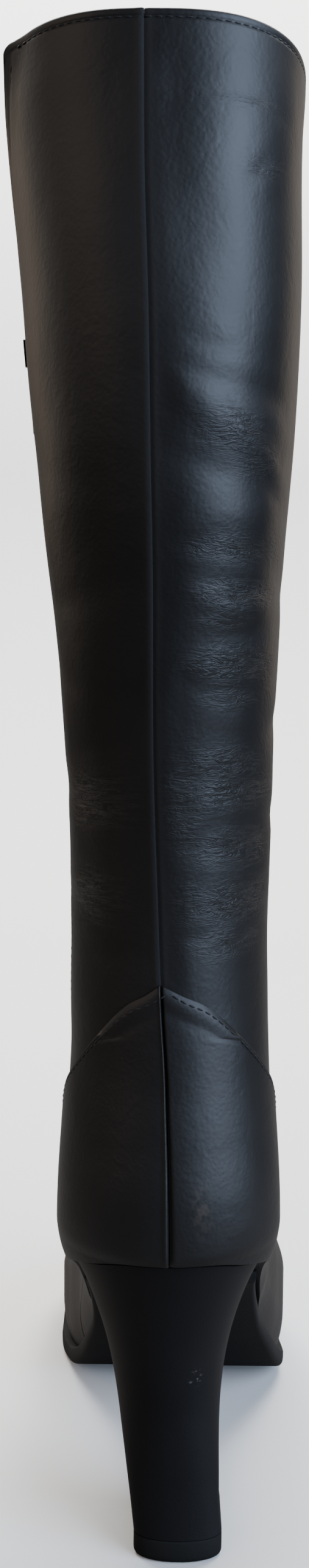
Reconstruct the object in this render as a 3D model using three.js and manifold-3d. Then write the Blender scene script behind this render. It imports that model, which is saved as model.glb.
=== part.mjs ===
// A right knee-high boot in black leather on a slim block heel.
// Millimetres, +Z up, toe towards +Y, the outer (lateral) side towards +X.
// The origin is on the floor, at the middle of the heel's resting face.
import * as THREE from 'three';
import Module from 'manifold-3d';

const wasm = await Module();
wasm.setup();

// Driving sizes of the boot
const lastLength = 228;
const heelHeight = 96;
const bootHeight = 433;
const instepRise = 54;
const ankleRise = 10;
const ballWidth = 84;
const ankleWidth = 61.2;
const collarWidth = 86;
const collarDepth = 126;
const collarSetback = 18;
const collarLean = -9.6;
const footLean = -3.6;
const toeSwing = -4;
const shaftFoot = 4;
const tuckHeight = 15;
const wall = 2;
const clearance = 0.3;

// Driving sizes of the sole
const soleThickness = 6.7;
const waistThickness = 3.4;
const soleOverhang = 2.8;
const toeSpring = 8;
const insoleThickness = 2.4;
const heelBreast = 54;
const rimPlace = 0.56;

// Driving sizes of the heel
const heelSeatWidth = 55;
const topPieceWidth = 26.6;
const topPieceDepth = 28;
const topPieceHeight = 7;
const topPieceEdge = 1.4;
const heelUndercut = 12;
const heelSeatInset = 0.6;
const heelRearRound = 0.62;
const heelRearPower = 2.15;
const heelFrontRound = 0.14;
const heelFrontPower = 2;

// Driving sizes of the heel counter
const counterHeight = 80;
const counterThickness = 1.2;
const counterFoot = 0.8;

// Driving sizes of the seam up the back
const seamWidth = 2.2;
const seamLift = 0.6;
const seamDrift = 4.6;
const grooveWidth = 2;
const grooveDepth = 0.7;

// Driving sizes of the zip on the inner side
const zipFoot = 126;
const zipOpen = 73;
const zipPlace = 0.5;
const slitWidth = 7.2;
const rearSpread = 34;
const frontSpread = 9;
const tapeWidth = 22;
const tapeThickness = 0.8;
const chainWidth = 4.4;
const chainDepth = 1.3;
const sliderLength = 11;
const plateThickness = 0.7;
const bailLength = 8;
const bailWidth = 1.6;
const bailPost = 0.8;
const bailThickness = 0.6;
const pullLength = 24;
const pullWidth = 5;
const pullThickness = 0.9;
const pullBarRadius = 0.45;

// How finely the boot is divided
const columns = 48;
const footRows = 14;
const shaftRows = 14;
const zipSteps = 12;
const openSteps = 5;
const slitColumns = 8;
const heelColumns = 28;

// Shares of the climb from the underside to the collar, and how it sweeps
const ankleShare = 0.5;
const instepSweep = 1.6;
const flatFrom = 0.3;
const levelFoot = 0.08;
const levelCollar = 0.04;
const trimReach = 0.05;

// Places worked out from the driving sizes
const soleTop = soleThickness + clearance;
const toeHeight = soleTop + toeSpring;
const instepHeight = heelHeight + instepRise;
const ankleHeight = instepHeight + ankleRise;
const shaftHeight = bootHeight - heelHeight;
const sliderHeight = bootHeight - zipOpen;
const counterBack = -(topPieceDepth / 2 + heelUndercut);
const up = new THREE.Vector3(0, 0, 1);

// Underside of the upper, seen from the side: share of the last's length,
// share of the heel's height over the sole and share of the toe spring.
const featherTable = [
  { along: 0, seat: 1, spring: 0 },
  { along: 0.008, seat: 0.999, spring: 0 },
  { along: 0.05, seat: 0.963, spring: 0 },
  { along: 0.1, seat: 0.918, spring: 0 },
  { along: 0.16, seat: 0.854, spring: 0 },
  { along: 0.22, seat: 0.77, spring: 0 },
  { along: 0.285, seat: 0.642, spring: 0 },
  { along: 0.35, seat: 0.486, spring: 0 },
  { along: 0.415, seat: 0.324, spring: 0 },
  { along: 0.48, seat: 0.172, spring: 0 },
  { along: 0.535, seat: 0.075, spring: 0 },
  { along: 0.59, seat: 0.018, spring: 0 },
  { along: 0.64, seat: 0, spring: 0 },
  { along: 0.8, seat: 0, spring: 0 },
  { along: 0.88, seat: 0, spring: 0.16 },
  { along: 0.945, seat: 0, spring: 0.54 },
  { along: 0.9925, seat: 0, spring: 1 },
  { along: 1.02, seat: 0, spring: 1.3 },
];

// Half widths of the foot beside its middle line, as shares of the ball's width,
// and how far the underside is drawn in below the widest line, in walls.
const footTable = [
  { along: 0, medial: 0.376, lateral: 0.376, inset: 1.6, swing: 0 },
  { along: 0.13, medial: 0.386, lateral: 0.388, inset: 1.6, swing: 0 },
  { along: 0.26, medial: 0.352, lateral: 0.38, inset: 1.6, swing: 0 },
  { along: 0.37, medial: 0.328, lateral: 0.402, inset: 1.5, swing: 0 },
  { along: 0.48, medial: 0.37, lateral: 0.474, inset: 1.3, swing: 0 },
  { along: 0.58, medial: 0.436, lateral: 0.522, inset: 1.2, swing: 0 },
  { along: 0.66, medial: 0.476, lateral: 0.512, inset: 1.1, swing: 0.05 },
  { along: 0.755, medial: 0.472, lateral: 0.474, inset: 1.1, swing: 0.25 },
  { along: 0.88, medial: 0.428, lateral: 0.414, inset: 1.1, swing: 0.6 },
  { along: 1, medial: 0.368, lateral: 0.354, inset: 1.1, swing: 1 },
];

// Front outline over the toe and instep: height as a share of the way from the
// toe's underside to the instep, reach as a share of the last's length.
const instepTable = [
  { height: 0, reach: 0.9925 },
  { height: 0.026, reach: 1 },
  { height: 0.054, reach: 0.994 },
  { height: 0.085, reach: 0.971 },
  { height: 0.115, reach: 0.933 },
  { height: 0.16, reach: 0.872 },
  { height: 0.22, reach: 0.795 },
  { height: 0.29, reach: 0.719 },
  { height: 0.38, reach: 0.648 },
  { height: 0.48, reach: 0.588 },
  { height: 0.6, reach: 0.533 },
  { height: 0.72, reach: 0.489 },
  { height: 0.85, reach: 0.454 },
  { height: 1, reach: 0.43 },
];

// Sections of the shaft above the seat: height as a share of the shaft, back as
// a share of the collar's setback (forward is positive), depth as a share of the
// collar's depth, flare from the ankle's width to the collar's, and the lean.
const shaftTable = [
  { height: 0, back: 0.07, depth: 0.9, flare: 0.02, lean: 0.34 },
  { height: 0.012, back: 0, depth: 0.89, flare: 0.02, lean: 0.35 },
  { height: 0.048, back: 0.03, depth: 0.86, flare: 0.02, lean: 0.37 },
  { height: 0.1, back: 0.19, depth: 0.8, flare: 0.01, lean: 0.38 },
  { height: 0.16, back: 0.39, depth: 0.726, flare: 0, lean: 0.36 },
  { height: 0.215, back: 0.5, depth: 0.688, flare: 0.01, lean: 0.4 },
  { height: 0.265, back: 0.53, depth: 0.678, flare: 0, lean: 0.41 },
  { height: 0.34, back: 0.42, depth: 0.695, flare: 0.01, lean: 0.42 },
  { height: 0.43, back: 0.17, depth: 0.745, flare: 0.07, lean: 0.45 },
  { height: 0.545, back: -0.28, depth: 0.843, flare: 0.27, lean: 0.52 },
  { height: 0.665, back: -0.72, depth: 0.93, flare: 0.53, lean: 0.65 },
  { height: 0.785, back: -0.96, depth: 0.977, flare: 0.74, lean: 0.74 },
  { height: 0.9, back: -1, depth: 0.995, flare: 0.9, lean: 0.9 },
  { height: 1, back: -1, depth: 1, flare: 1, lean: 1 },
];

// Roundness of the sections: height as a share of the boot, length of the round
// rear and front as shares of the collar's depth, and how square they are.
const roundTable = [
  { height: 0.035, rear: 0.25, rearPower: 2.1, front: 0.4, frontPower: 2 },
  { height: 0.125, rear: 0.25, rearPower: 2.1, front: 0.5, frontPower: 2.2 },
  { height: 0.22, rear: 0.25, rearPower: 2.15, front: 0.44, frontPower: 2.2 },
  { height: 0.3, rear: 0.29, rearPower: 2.1, front: 0.39, frontPower: 2.1 },
  { height: 0.39, rear: 0.32, rearPower: 2.05, front: 0.34, frontPower: 2.1 },
  { height: 0.44, rear: 0.335, rearPower: 2.05, front: 0.33, frontPower: 2.1 },
  { height: 0.58, rear: 0.39, rearPower: 2.1, front: 0.37, frontPower: 2.1 },
  { height: 0.78, rear: 0.47, rearPower: 2.35, front: 0.46, frontPower: 2.2 },
  { height: 1, rear: 0.5, rearPower: 2.7, front: 0.5, frontPower: 2.2 },
];

// Sections of the covered heel: rise from the top piece to the seat, back as a
// share of the way from the seat's back to the top piece's, depth as a share of
// the way from the top piece's depth to the seat's, flare from the top piece's
// width to the seat's, and the drift of the middle towards the foot's middle line.
const heelTable = [
  { rise: 0, back: 1, depth: 0, flare: 0, drift: 0 },
  { rise: 0.06, back: 1.0375, depth: 0, flare: 0, drift: 0.16 },
  { rise: 0.22, back: 1.1, depth: 0.04, flare: 0.05, drift: 0.45 },
  { rise: 0.42, back: 1.1, depth: 0.15, flare: 0.14, drift: 0.75 },
  { rise: 0.57, back: 1, depth: 0.27, flare: 0.25, drift: 0.88 },
  { rise: 0.72, back: 0.775, depth: 0.42, flare: 0.42, drift: 0.96 },
  { rise: 0.84, back: 0.45, depth: 0.62, flare: 0.62, drift: 1 },
  { rise: 0.93, back: 0.1875, depth: 0.8, flare: 0.81, drift: 1 },
  { rise: 1, back: 0, depth: 1, flare: 1, drift: 1 },
];

// Top edge of the heel counter: turn from the back seam (0) towards the toe (1)
// and rise above the back of the seat as a share of the counter's height.
const counterTable = [
  { turn: 0, rise: 1 },
  { turn: 0.05, rise: 0.96 },
  { turn: 0.1, rise: 0.927 },
  { turn: 0.15, rise: 0.874 },
  { turn: 0.2, rise: 0.808 },
  { turn: 0.25, rise: 0.733 },
  { turn: 0.3, rise: 0.646 },
  { turn: 0.34, rise: 0.565 },
  { turn: 0.375, rise: 0.37 },
  { turn: 0.4, rise: 0 },
  { turn: 0.42, rise: -0.41 },
];

// Back seam: height as a share of the boot and how far it runs to the medial
// side of the middle, as a share of its widest drift.
const seamTable = [
  { height: 0.2, drift: -0.1 },
  { height: 0.28, drift: 0 },
  { height: 0.37, drift: 0.35 },
  { height: 0.44, drift: 0.64 },
  { height: 0.57, drift: 1 },
  { height: 0.72, drift: 0.78 },
  { height: 0.87, drift: 0.7 },
  { height: 1, drift: 0.41 },
];

// Edge of the outsole from its top to the tread: share of the thickness and how
// far it is drawn in from the overhang.
const soleEdgeTable = [
  { down: 0, inset: 0.5 },
  { down: 0.12, inset: 0 },
  { down: 0.7, inset: 0.2 },
  { down: 0.92, inset: 1 },
  { down: 1, inset: 1.9 },
];

// Smooth curve through the rows of a table that never swings past its values
function curveThrough(rows, at, value) {
  const count = rows.length;
  const slopes = [];
  for (let i = 0; i < count - 1; i += 1) {
    slopes.push((rows[i + 1][value] - rows[i][value]) / (rows[i + 1][at] - rows[i][at]));
  }
  const tangents = [slopes[0]];
  for (let i = 1; i < count - 1; i += 1) {
    const before = slopes[i - 1];
    const after = slopes[i];
    const spanBefore = rows[i][at] - rows[i - 1][at];
    const spanAfter = rows[i + 1][at] - rows[i][at];
    const weightBefore = 2 * spanAfter + spanBefore;
    const weightAfter = spanAfter + 2 * spanBefore;
    const turns = before * after <= 0;
    const mean = (weightBefore + weightAfter) / (weightBefore / before + weightAfter / after);
    tangents.push(turns ? 0 : mean);
  }
  tangents.push(slopes[count - 2]);
  return (place) => {
    const spot = THREE.MathUtils.clamp(place, rows[0][at], rows[count - 1][at]);
    let i = 0;
    while (i < count - 2 && spot > rows[i + 1][at]) i += 1;
    const span = rows[i + 1][at] - rows[i][at];
    const t = (spot - rows[i][at]) / span;
    const s = 1 - t;
    return rows[i][value] * (1 + 2 * t) * s * s + tangents[i] * span * t * s * s
      + rows[i + 1][value] * t * t * (3 - 2 * t) - tangents[i + 1] * span * t * t * s;
  };
}

const smooth = (from, to, value) => THREE.MathUtils.smoothstep(value, from, to);

// Fullness of a section at a distance from its rounded end: 0 at the end itself,
// 1 once the round is passed, along a superellipse.
function fullness(distance, length, power) {
  const left = 1 - THREE.MathUtils.clamp(distance / length, 0, 1);
  return (1 - left ** power) ** (1 / power);
}

const seatShare = curveThrough(featherTable, 'along', 'seat');
const springShare = curveThrough(featherTable, 'along', 'spring');
const medialShare = curveThrough(footTable, 'along', 'medial');
const lateralShare = curveThrough(footTable, 'along', 'lateral');
const insetShare = curveThrough(footTable, 'along', 'inset');
const swingShare = curveThrough(footTable, 'along', 'swing');
const backShare = curveThrough(shaftTable, 'height', 'back');
const depthShare = curveThrough(shaftTable, 'height', 'depth');
const flareShare = curveThrough(shaftTable, 'height', 'flare');
const leanShare = curveThrough(shaftTable, 'height', 'lean');
const rearLength = curveThrough(roundTable, 'height', 'rear');
const rearPower = curveThrough(roundTable, 'height', 'rearPower');
const frontLength = curveThrough(roundTable, 'height', 'front');
const frontPower = curveThrough(roundTable, 'height', 'frontPower');

// Height of the upper's underside at a distance along the last
function featherHeight(along) {
  const share = along / lastLength;
  return soleTop + (heelHeight - soleTop) * seatShare(share) + toeSpring * springShare(share);
}

const shaftLevel = (z) => (z - heelHeight) / shaftHeight;
const backLine = (z) => collarSetback * backShare(shaftLevel(z));

// Front outline: over the toe and instep first, then up the shaft
const frontRows = instepTable.map((row) => ({
  z: toeHeight + (instepHeight - toeHeight) * row.height,
  y: lastLength * row.reach,
}));
for (const row of shaftTable) {
  const z = heelHeight + shaftHeight * row.height;
  if (z > ankleHeight) {
    frontRows.push({ z, y: backLine(z) + collarDepth * row.depth });
  }
}
const frontLine = curveThrough(frontRows, 'z', 'y');

// Half widths and middle of the section at a place on the side of the boot
function sectionAt(along, z) {
  const inShaft = smooth(heelHeight + shaftFoot, ankleHeight, z);
  const share = along / lastLength;
  const level = z / bootHeight;
  const tuck = 1 - THREE.MathUtils.clamp((z - featherHeight(along)) / tuckHeight, 0, 1);
  const inset = wall * insetShare(share) * tuck * tuck;
  const rear = fullness(
    along - backLine(z), collarDepth * rearLength(level), rearPower(level));
  const front = fullness(
    frontLine(z) - along, collarDepth * frontLength(level), frontPower(level));
  const flare = flareShare(shaftLevel(z));
  const shaftHalf = (ankleWidth + (collarWidth - ankleWidth) * flare) / 2;
  const mix = (foot) => THREE.MathUtils.lerp(foot - inset, shaftHalf, inShaft) * rear * front;
  const footMiddle = footLean + toeSwing * swingShare(share);
  return {
    medial: mix(ballWidth * medialShare(share)),
    lateral: mix(ballWidth * lateralShare(share)),
    middle: THREE.MathUtils.lerp(footMiddle, collarLean * leanShare(shaftLevel(z)), inShaft),
  };
}

// Outer face of the upper. The climb goes from the underside (0) over the ankle
// to the collar (1); the turn goes round from the toe by the medial side (below
// 0) to the back (0) and on by the lateral side to the toe again.
function upperPoint(climb, turn) {
  const across = (1 - Math.cos(turn)) / 2;
  const foot = THREE.MathUtils.clamp(climb / ankleShare, 0, 1);
  const shaft = THREE.MathUtils.clamp((climb - ankleShare) / (1 - ankleShare), 0, 1);
  const rise = (bootHeight - ankleHeight) * shaft;
  const backHeight = heelHeight + (ankleHeight - heelHeight) * foot + rise;
  const frontHeight = toeHeight + (ankleHeight - toeHeight) * foot ** instepSweep + rise;
  const backPlace = backLine(backHeight);
  const frontPlace = frontLine(frontHeight);
  const along = THREE.MathUtils.lerp(backPlace, frontPlace, across);
  const level = smooth(flatFrom, 1, foot);
  const flat = THREE.MathUtils.lerp(heelHeight, featherHeight(frontPlace), across);
  const base = THREE.MathUtils.lerp(featherHeight(along), flat, level);
  const backBase = THREE.MathUtils.lerp(featherHeight(backPlace), heelHeight, level);
  const z = base + (backHeight - backBase) * (1 - across)
    + (frontHeight - featherHeight(frontPlace)) * across;
  const section = sectionAt(along, z);
  const x = section.middle + (Math.sin(turn) < 0 ? -section.medial : section.lateral);
  return new THREE.Vector3(x, counterBack + along, z);
}

// Outward direction of the upper, laid level at the underside and at the collar
function upperNormal(climb, turn) {
  const step = 0.004;
  const low = upperPoint(Math.max(climb - step, 0), turn);
  const high = upperPoint(Math.min(climb + step, 1), turn);
  const left = upperPoint(climb, turn - step * 4);
  const right = upperPoint(climb, turn + step * 4);
  const normal = right.sub(left).cross(high.sub(low));
  normal.z *= smooth(0, levelFoot, climb) * (1 - smooth(1 - levelCollar, 1, climb));
  return normal.normalize();
}

function upperOffset(climb, turn, distance) {
  return upperPoint(climb, turn).addScaledVector(upperNormal(climb, turn), distance);
}

// Climb at which a column of the upper reaches a height
function climbToHeight(turn, z) {
  let low = 0;
  let high = 1;
  for (let i = 0; i < 30; i += 1) {
    const middle = (low + high) / 2;
    if (upperPoint(middle, turn).z < z) low = middle;
    else high = middle;
  }
  return (low + high) / 2;
}

const columnTurn = (k) => -Math.PI + (2 * Math.PI * k) / columns;
const climbs = [];
for (let i = 0; i < footRows; i += 1) climbs.push(ankleShare * (i / footRows));
for (let i = 0; i <= shaftRows; i += 1) {
  climbs.push(ankleShare + (1 - ankleShare) * (i / shaftRows));
}

// Geometry from points and triangles, turned so that its faces point out
function geometryFrom(points, triangles) {
  let volume = 0;
  for (let i = 0; i < triangles.length; i += 3) {
    const [a, b, c] = [points[triangles[i]], points[triangles[i + 1]], points[triangles[i + 2]]];
    volume += a.dot(b.clone().cross(c));
  }
  const turned = volume < 0 ? triangles.slice().reverse() : triangles;
  const geometry = new THREE.BufferGeometry().setFromPoints(points);
  geometry.setIndex(turned);
  return geometry;
}

function pushQuad(triangles, a, b, c, d) {
  triangles.push(a, b, c, a, c, d);
}

// Solid through closed loops of points, with caps of strips that join each
// point with its partner across the loop, so that caps follow a curved seat
function loftSolid(loops) {
  const count = loops[0].length;
  const triangles = [];
  for (let row = 0; row < loops.length - 1; row += 1) {
    for (let k = 0; k < count; k += 1) {
      const next = (k + 1) % count;
      pushQuad(triangles, row * count + k, row * count + next,
        (row + 1) * count + next, (row + 1) * count + k);
    }
  }
  for (const last of [false, true]) {
    const base = last ? (loops.length - 1) * count : 0;
    for (let k = 0; k + 1 <= count - k - 1; k += 1) {
      const corners = [k, k + 1, count - k - 1, (count - k) % count];
      const ring = corners.filter((corner, i) => corners.indexOf(corner) === i);
      if (!last) ring.reverse();
      for (let i = 1; i < ring.length - 1; i += 1) {
        triangles.push(base + ring[0], base + ring[i], base + ring[i + 1]);
      }
    }
  }
  return geometryFrom(loops.flat(), triangles);
}

// Solid between an outer and an inner grid of points. A closed grid goes right
// round the boot, an open one is a patch with an edge on all four sides.
function shellSolid(outer, inner, closed) {
  const rows = outer.length;
  const count = outer[0].length;
  const points = [...outer.flat(), ...inner.flat()];
  const half = rows * count;
  const triangles = [];
  const lastColumn = closed ? count : count - 1;
  for (let row = 0; row < rows - 1; row += 1) {
    for (let k = 0; k < lastColumn; k += 1) {
      const next = (k + 1) % count;
      const [a, b] = [row * count + k, row * count + next];
      const [c, d] = [(row + 1) * count + next, (row + 1) * count + k];
      pushQuad(triangles, a, b, c, d);
      pushQuad(triangles, half + c, half + b, half + a, half + d);
    }
  }
  for (let k = 0; k < lastColumn; k += 1) {
    const next = (k + 1) % count;
    const top = (rows - 1) * count;
    pushQuad(triangles, half + k, half + next, next, k);
    pushQuad(triangles, top + k, top + next, half + top + next, half + top + k);
  }
  if (!closed) {
    for (let row = 0; row < rows - 1; row += 1) {
      const [a, d] = [row * count, (row + 1) * count];
      const [b, c] = [a + count - 1, d + count - 1];
      pushQuad(triangles, half + a, a, d, half + d);
      pushQuad(triangles, b, half + b, half + c, c);
    }
  }
  return geometryFrom(points, triangles);
}

function manifoldFrom(geometry) {
  return new wasm.Manifold(new wasm.Mesh({
    numProp: 3,
    vertProperties: geometry.getAttribute('position').array,
    triVerts: Uint32Array.from(geometry.getIndex().array),
  }));
}

function geometryOf(manifold) {
  const mesh = manifold.getMesh();
  const geometry = new THREE.BufferGeometry();
  geometry.setAttribute('position', new THREE.BufferAttribute(mesh.vertProperties, 3));
  geometry.setIndex(new THREE.BufferAttribute(mesh.triVerts, 1));
  return geometry;
}

// Frame on the skin of the shaft at the zip: out of the boot, to the toe, and up
function zipFrame(z) {
  const turn = -Math.acos(1 - 2 * zipPlace);
  const climb = climbToHeight(turn, z);
  const origin = upperPoint(climb, turn);
  const out = upperNormal(climb, turn);
  const side = new THREE.Vector3().crossVectors(out, up).normalize();
  const rise = new THREE.Vector3().crossVectors(side, out).normalize();
  return { origin, side, out, rise };
}

// Distances forward of the zip's middle where its slit ends on the rear side
// (hand -1) and on the front side (hand 1); the two part above the slider
function slitEdge(z, hand) {
  const open = THREE.MathUtils.clamp((z - sliderHeight) / zipOpen, 0, 1);
  return (hand * slitWidth) / 2 + (hand < 0 ? -rearSpread : frontSpread) * open;
}

// Point over or under the skin, at a height and a distance forward of the zip's
// middle, as it is seen from the side
function besideZip(z, forward, distance) {
  const place = zipPlace + forward / (collarDepth * depthShare(shaftLevel(z)));
  const turn = -Math.acos(1 - 2 * place);
  return upperOffset(climbToHeight(turn, z), turn, distance);
}

// Heights at which the zip is divided, closer together where it stands open
function zipHeights(from, to) {
  const closed = Array.from({ length: zipSteps }, (_, i) => (
    THREE.MathUtils.lerp(from, sliderHeight, i / zipSteps)));
  const open = Array.from({ length: openSteps + 1 }, (_, i) => (
    THREE.MathUtils.lerp(sliderHeight, to, i / openSteps)));
  return [...closed, ...open];
}

// Band along the zip: as many columns as asked between two lines that are given
// by their distance forward at a height, and between two depths under the skin
function zipBand(heights, count, from, to, innerSide, outerSide) {
  const gridAt = (distance) => heights.map((z) => (
    Array.from({ length: count + 1 }, (_, i) => (
      besideZip(z, THREE.MathUtils.lerp(from(z), to(z), i / count), distance)))));
  return [gridAt(outerSide), gridAt(innerSide)];
}

// Turn of the back seam on a row of the upper, from how far it runs to the
// medial side of the middle, measured along the skin
const driftShare = curveThrough(seamTable, 'height', 'drift');

function seamTurn(climb, distance) {
  const near = Math.PI / columns;
  const chord = upperPoint(climb, near).distanceTo(upperPoint(climb, -near));
  const drift = -seamDrift * driftShare(upperPoint(climb, 0).z / bootHeight);
  return ((drift + distance) * 2 * near) / chord;
}

// Strip along the back seam between two distances from the skin
function seamStrip(rows, width, innerSide, outerSide) {
  const gridAt = (away) => rows.map((climb) => [-0.5, 0.5].map((side) => (
    upperOffset(climb, seamTurn(climb, width * side), away))));
  return manifoldFrom(shellSolid(gridAt(outerSide), gridAt(innerSide), false));
}

// Upper: one hollow wall with the zip's slit open at the collar, and with a
// raised seam from the counter's peak up the back
function makeUpper() {
  const outer = climbs.map((climb) => (
    Array.from({ length: columns }, (_, k) => upperPoint(climb, columnTurn(k)))));
  const inner = climbs.map((climb) => (
    Array.from({ length: columns }, (_, k) => upperOffset(climb, columnTurn(k), -wall))));
  const slitGrids = zipBand(zipHeights(zipFoot, bootHeight), slitColumns,
    (z) => slitEdge(z, -1), (z) => slitEdge(z, 1), -wall * 2, wall);
  for (const grid of slitGrids) {
    grid.push(grid[grid.length - 1].map((point) => point.clone().addScaledVector(up, wall)));
  }
  const slit = shellSolid(slitGrids[0], slitGrids[1], false);
  const seamFoot = climbToHeight(0, heelHeight + counterHeight + clearance * 2);
  const seamRows = [seamFoot, ...climbs.filter((climb) => climb > seamFoot)];
  const seam = seamStrip(seamRows, seamWidth, -wall / 2, seamLift);
  const solid = manifoldFrom(shellSolid(outer, inner, true));
  return geometryOf(solid.add(seam).subtract(manifoldFrom(slit)));
}

// Patch of points on the upper's own columns around the back, at a distance from
// its face, with the climbs that a function gives for each column
function skinPatch(lastColumn, climbsAt, distance) {
  const grid = [];
  for (let k = -lastColumn; k <= lastColumn; k += 1) {
    const turn = (2 * Math.PI * k) / columns;
    climbsAt(turn).forEach((climb, row) => {
      grid[row] = grid[row] || [];
      grid[row].push(upperOffset(climb, turn, distance));
    });
  }
  return grid;
}

// Heel counter: a second layer of leather over the back of the upper, cut along
// its pointed top edge, with a groove where the back seam runs down it
function makeCounter() {
  const edge = curveThrough(counterTable, 'turn', 'rise');
  const reach = counterTable[counterTable.length - 1].turn;
  const lastColumn = Math.floor((reach * columns) / 2);
  const peak = climbToHeight(0, heelHeight + counterHeight);
  const ownRows = climbs.filter((climb, row) => row === 0 || climbs[row - 1] < peak);
  ownRows[0] = climbToHeight(0, heelHeight + counterFoot);
  const topClimb = ownRows[ownRows.length - 1];
  const layer = shellSolid(
    skinPatch(lastColumn, () => ownRows, clearance + counterThickness),
    skinPatch(lastColumn, () => ownRows, clearance), false);
  const cutRows = 6;
  const aboveEdge = (turn) => {
    const top = heelHeight + counterHeight * edge(Math.abs(turn) / Math.PI);
    const from = climbToHeight(turn, top);
    return Array.from({ length: cutRows + 1 }, (_, i) => (
      THREE.MathUtils.lerp(from, topClimb + trimReach, i / cutRows)));
  };
  const trim = shellSolid(
    skinPatch(lastColumn + 1, aboveEdge, counterThickness + wall * 3),
    skinPatch(lastColumn + 1, aboveEdge, -wall * 3), false);
  const face = clearance + counterThickness;
  const grooveRows = [0, ...ownRows];
  const groove = seamStrip(grooveRows, grooveWidth, face - grooveDepth, face + wall);
  return geometryOf(manifoldFrom(layer).subtract(manifoldFrom(trim)).subtract(groove));
}

// Underside of the upper as its columns divide it, so that sole, insole and heel
// follow the same straight stretches
const stations = [];
for (let k = 0; k <= columns / 2; k += 1) {
  const foot = upperPoint(0, (2 * Math.PI * k) / columns);
  stations.push({ along: foot.y - counterBack, height: foot.z });
}

function seatLine(along) {
  let i = 0;
  while (i < stations.length - 2 && along > stations[i + 1].along) i += 1;
  const [from, to] = [stations[i], stations[i + 1]];
  const share = (along - from.along) / (to.along - from.along);
  return THREE.MathUtils.lerp(from.height, to.height, share);
}

// Point of the upper's underside moved out: straight sideways along the foot,
// square to the outline round the toe and the back
function featherPoint(turn, distance, height) {
  const point = upperPoint(0, turn);
  const normal = upperNormal(0, turn);
  if (Math.abs(normal.x) > 0.7) point.x += distance / normal.x;
  else point.addScaledVector(normal, distance);
  point.z = height(point.y - counterBack);
  return point;
}

// Outline of the upper's underside, moved out, from the toe round by the medial
// side and back by the lateral side, as far as a turn from the back
function featherOutline(fromTurn, distanceAt, height) {
  const turns = [];
  for (let k = 0; k <= columns / 2; k += 1) {
    const turn = Math.PI - (2 * Math.PI * k) / columns;
    if (turn > fromTurn) turns.push(turn);
  }
  if (fromTurn > 0) turns.push(fromTurn);
  const medial = turns.map((turn) => featherPoint(-turn, distanceAt(turn), height));
  const lateral = turns.filter((turn) => turn > 0 && turn < Math.PI)
    .map((turn) => featherPoint(turn, distanceAt(turn), height));
  return [...medial, ...lateral.reverse()];
}

// Insole: lies on the sole and heel inside the wall of the upper
function makeInsole() {
  const inside = () => -(wall + clearance * 2);
  return loftSolid([
    featherOutline(-1, inside, seatLine),
    featherOutline(-1, inside, (along) => seatLine(along) + insoleThickness),
  ]);
}

// Outsole: from the heel's breast to the toe, with a rim around the forefoot
function makeOutsole() {
  const rim = (along) => smooth(heelBreast, lastLength * rimPlace, along);
  const thickness = (along) => THREE.MathUtils.lerp(waistThickness, soleThickness, rim(along));
  const seatBack = backLine(heelHeight);
  const reach = frontLine(toeHeight) - seatBack;
  const breastTurn = Math.acos(1 - (2 * (heelBreast + clearance - seatBack)) / reach);
  const loops = soleEdgeTable.map((row) => featherOutline(
    breastTurn,
    (turn) => {
      const along = upperPoint(0, turn).y - counterBack;
      return soleOverhang * rim(along) - row.inset * thickness(along) / soleThickness;
    },
    (along) => seatLine(along) - clearance - thickness(along) * row.down,
  ));
  return loftSolid(loops);
}

// Round-backed section of the heel, from its front by the medial side to the
// back and on by the lateral side
function heelLoop(back, front, halfWidth, middle, height) {
  const loop = [];
  for (let k = 0; k < heelColumns; k += 1) {
    const turn = -Math.PI + (2 * Math.PI * k) / heelColumns;
    const along = THREE.MathUtils.lerp(back, front, (1 - Math.cos(turn)) / 2);
    const rear = fullness(along - back, (front - back) * heelRearRound, heelRearPower);
    const nose = fullness(front - along, (front - back) * heelFrontRound, heelFrontPower);
    const half = halfWidth * rear * nose;
    const x = middle + (turn < 0 ? -half : half);
    loop.push(new THREE.Vector3(x, counterBack + along, height(along)));
  }
  return loop;
}

// Covered heel: its top follows the slope of the seat, its foot is level
function makeHeel() {
  const foot = topPieceHeight + clearance;
  const seatBack = backLine(heelHeight) + heelSeatInset;
  const loops = heelTable.map((row) => {
    const back = THREE.MathUtils.lerp(seatBack, heelUndercut, row.back);
    const depth = THREE.MathUtils.lerp(topPieceDepth, heelBreast - seatBack, row.depth);
    const half = THREE.MathUtils.lerp(topPieceWidth, heelSeatWidth, row.flare) / 2;
    const height = (along) => THREE.MathUtils.lerp(
      foot, seatLine(along) - clearance, row.rise);
    return heelLoop(back, back + depth, half, footLean * row.drift, height);
  });
  return loftSolid(loops);
}

// Top piece: the hard rubber that the heel stands on, with an eased lower edge
function makeTopPiece() {
  const back = heelUndercut;
  const front = back + topPieceDepth;
  const half = topPieceWidth / 2;
  const loops = [
    heelLoop(back + topPieceEdge, front - topPieceEdge, half - topPieceEdge, 0, () => 0),
    heelLoop(back, front, half, 0, () => topPieceEdge),
    heelLoop(back, front, half, 0, () => topPieceHeight),
  ];
  return loftSolid(loops);
}

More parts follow.
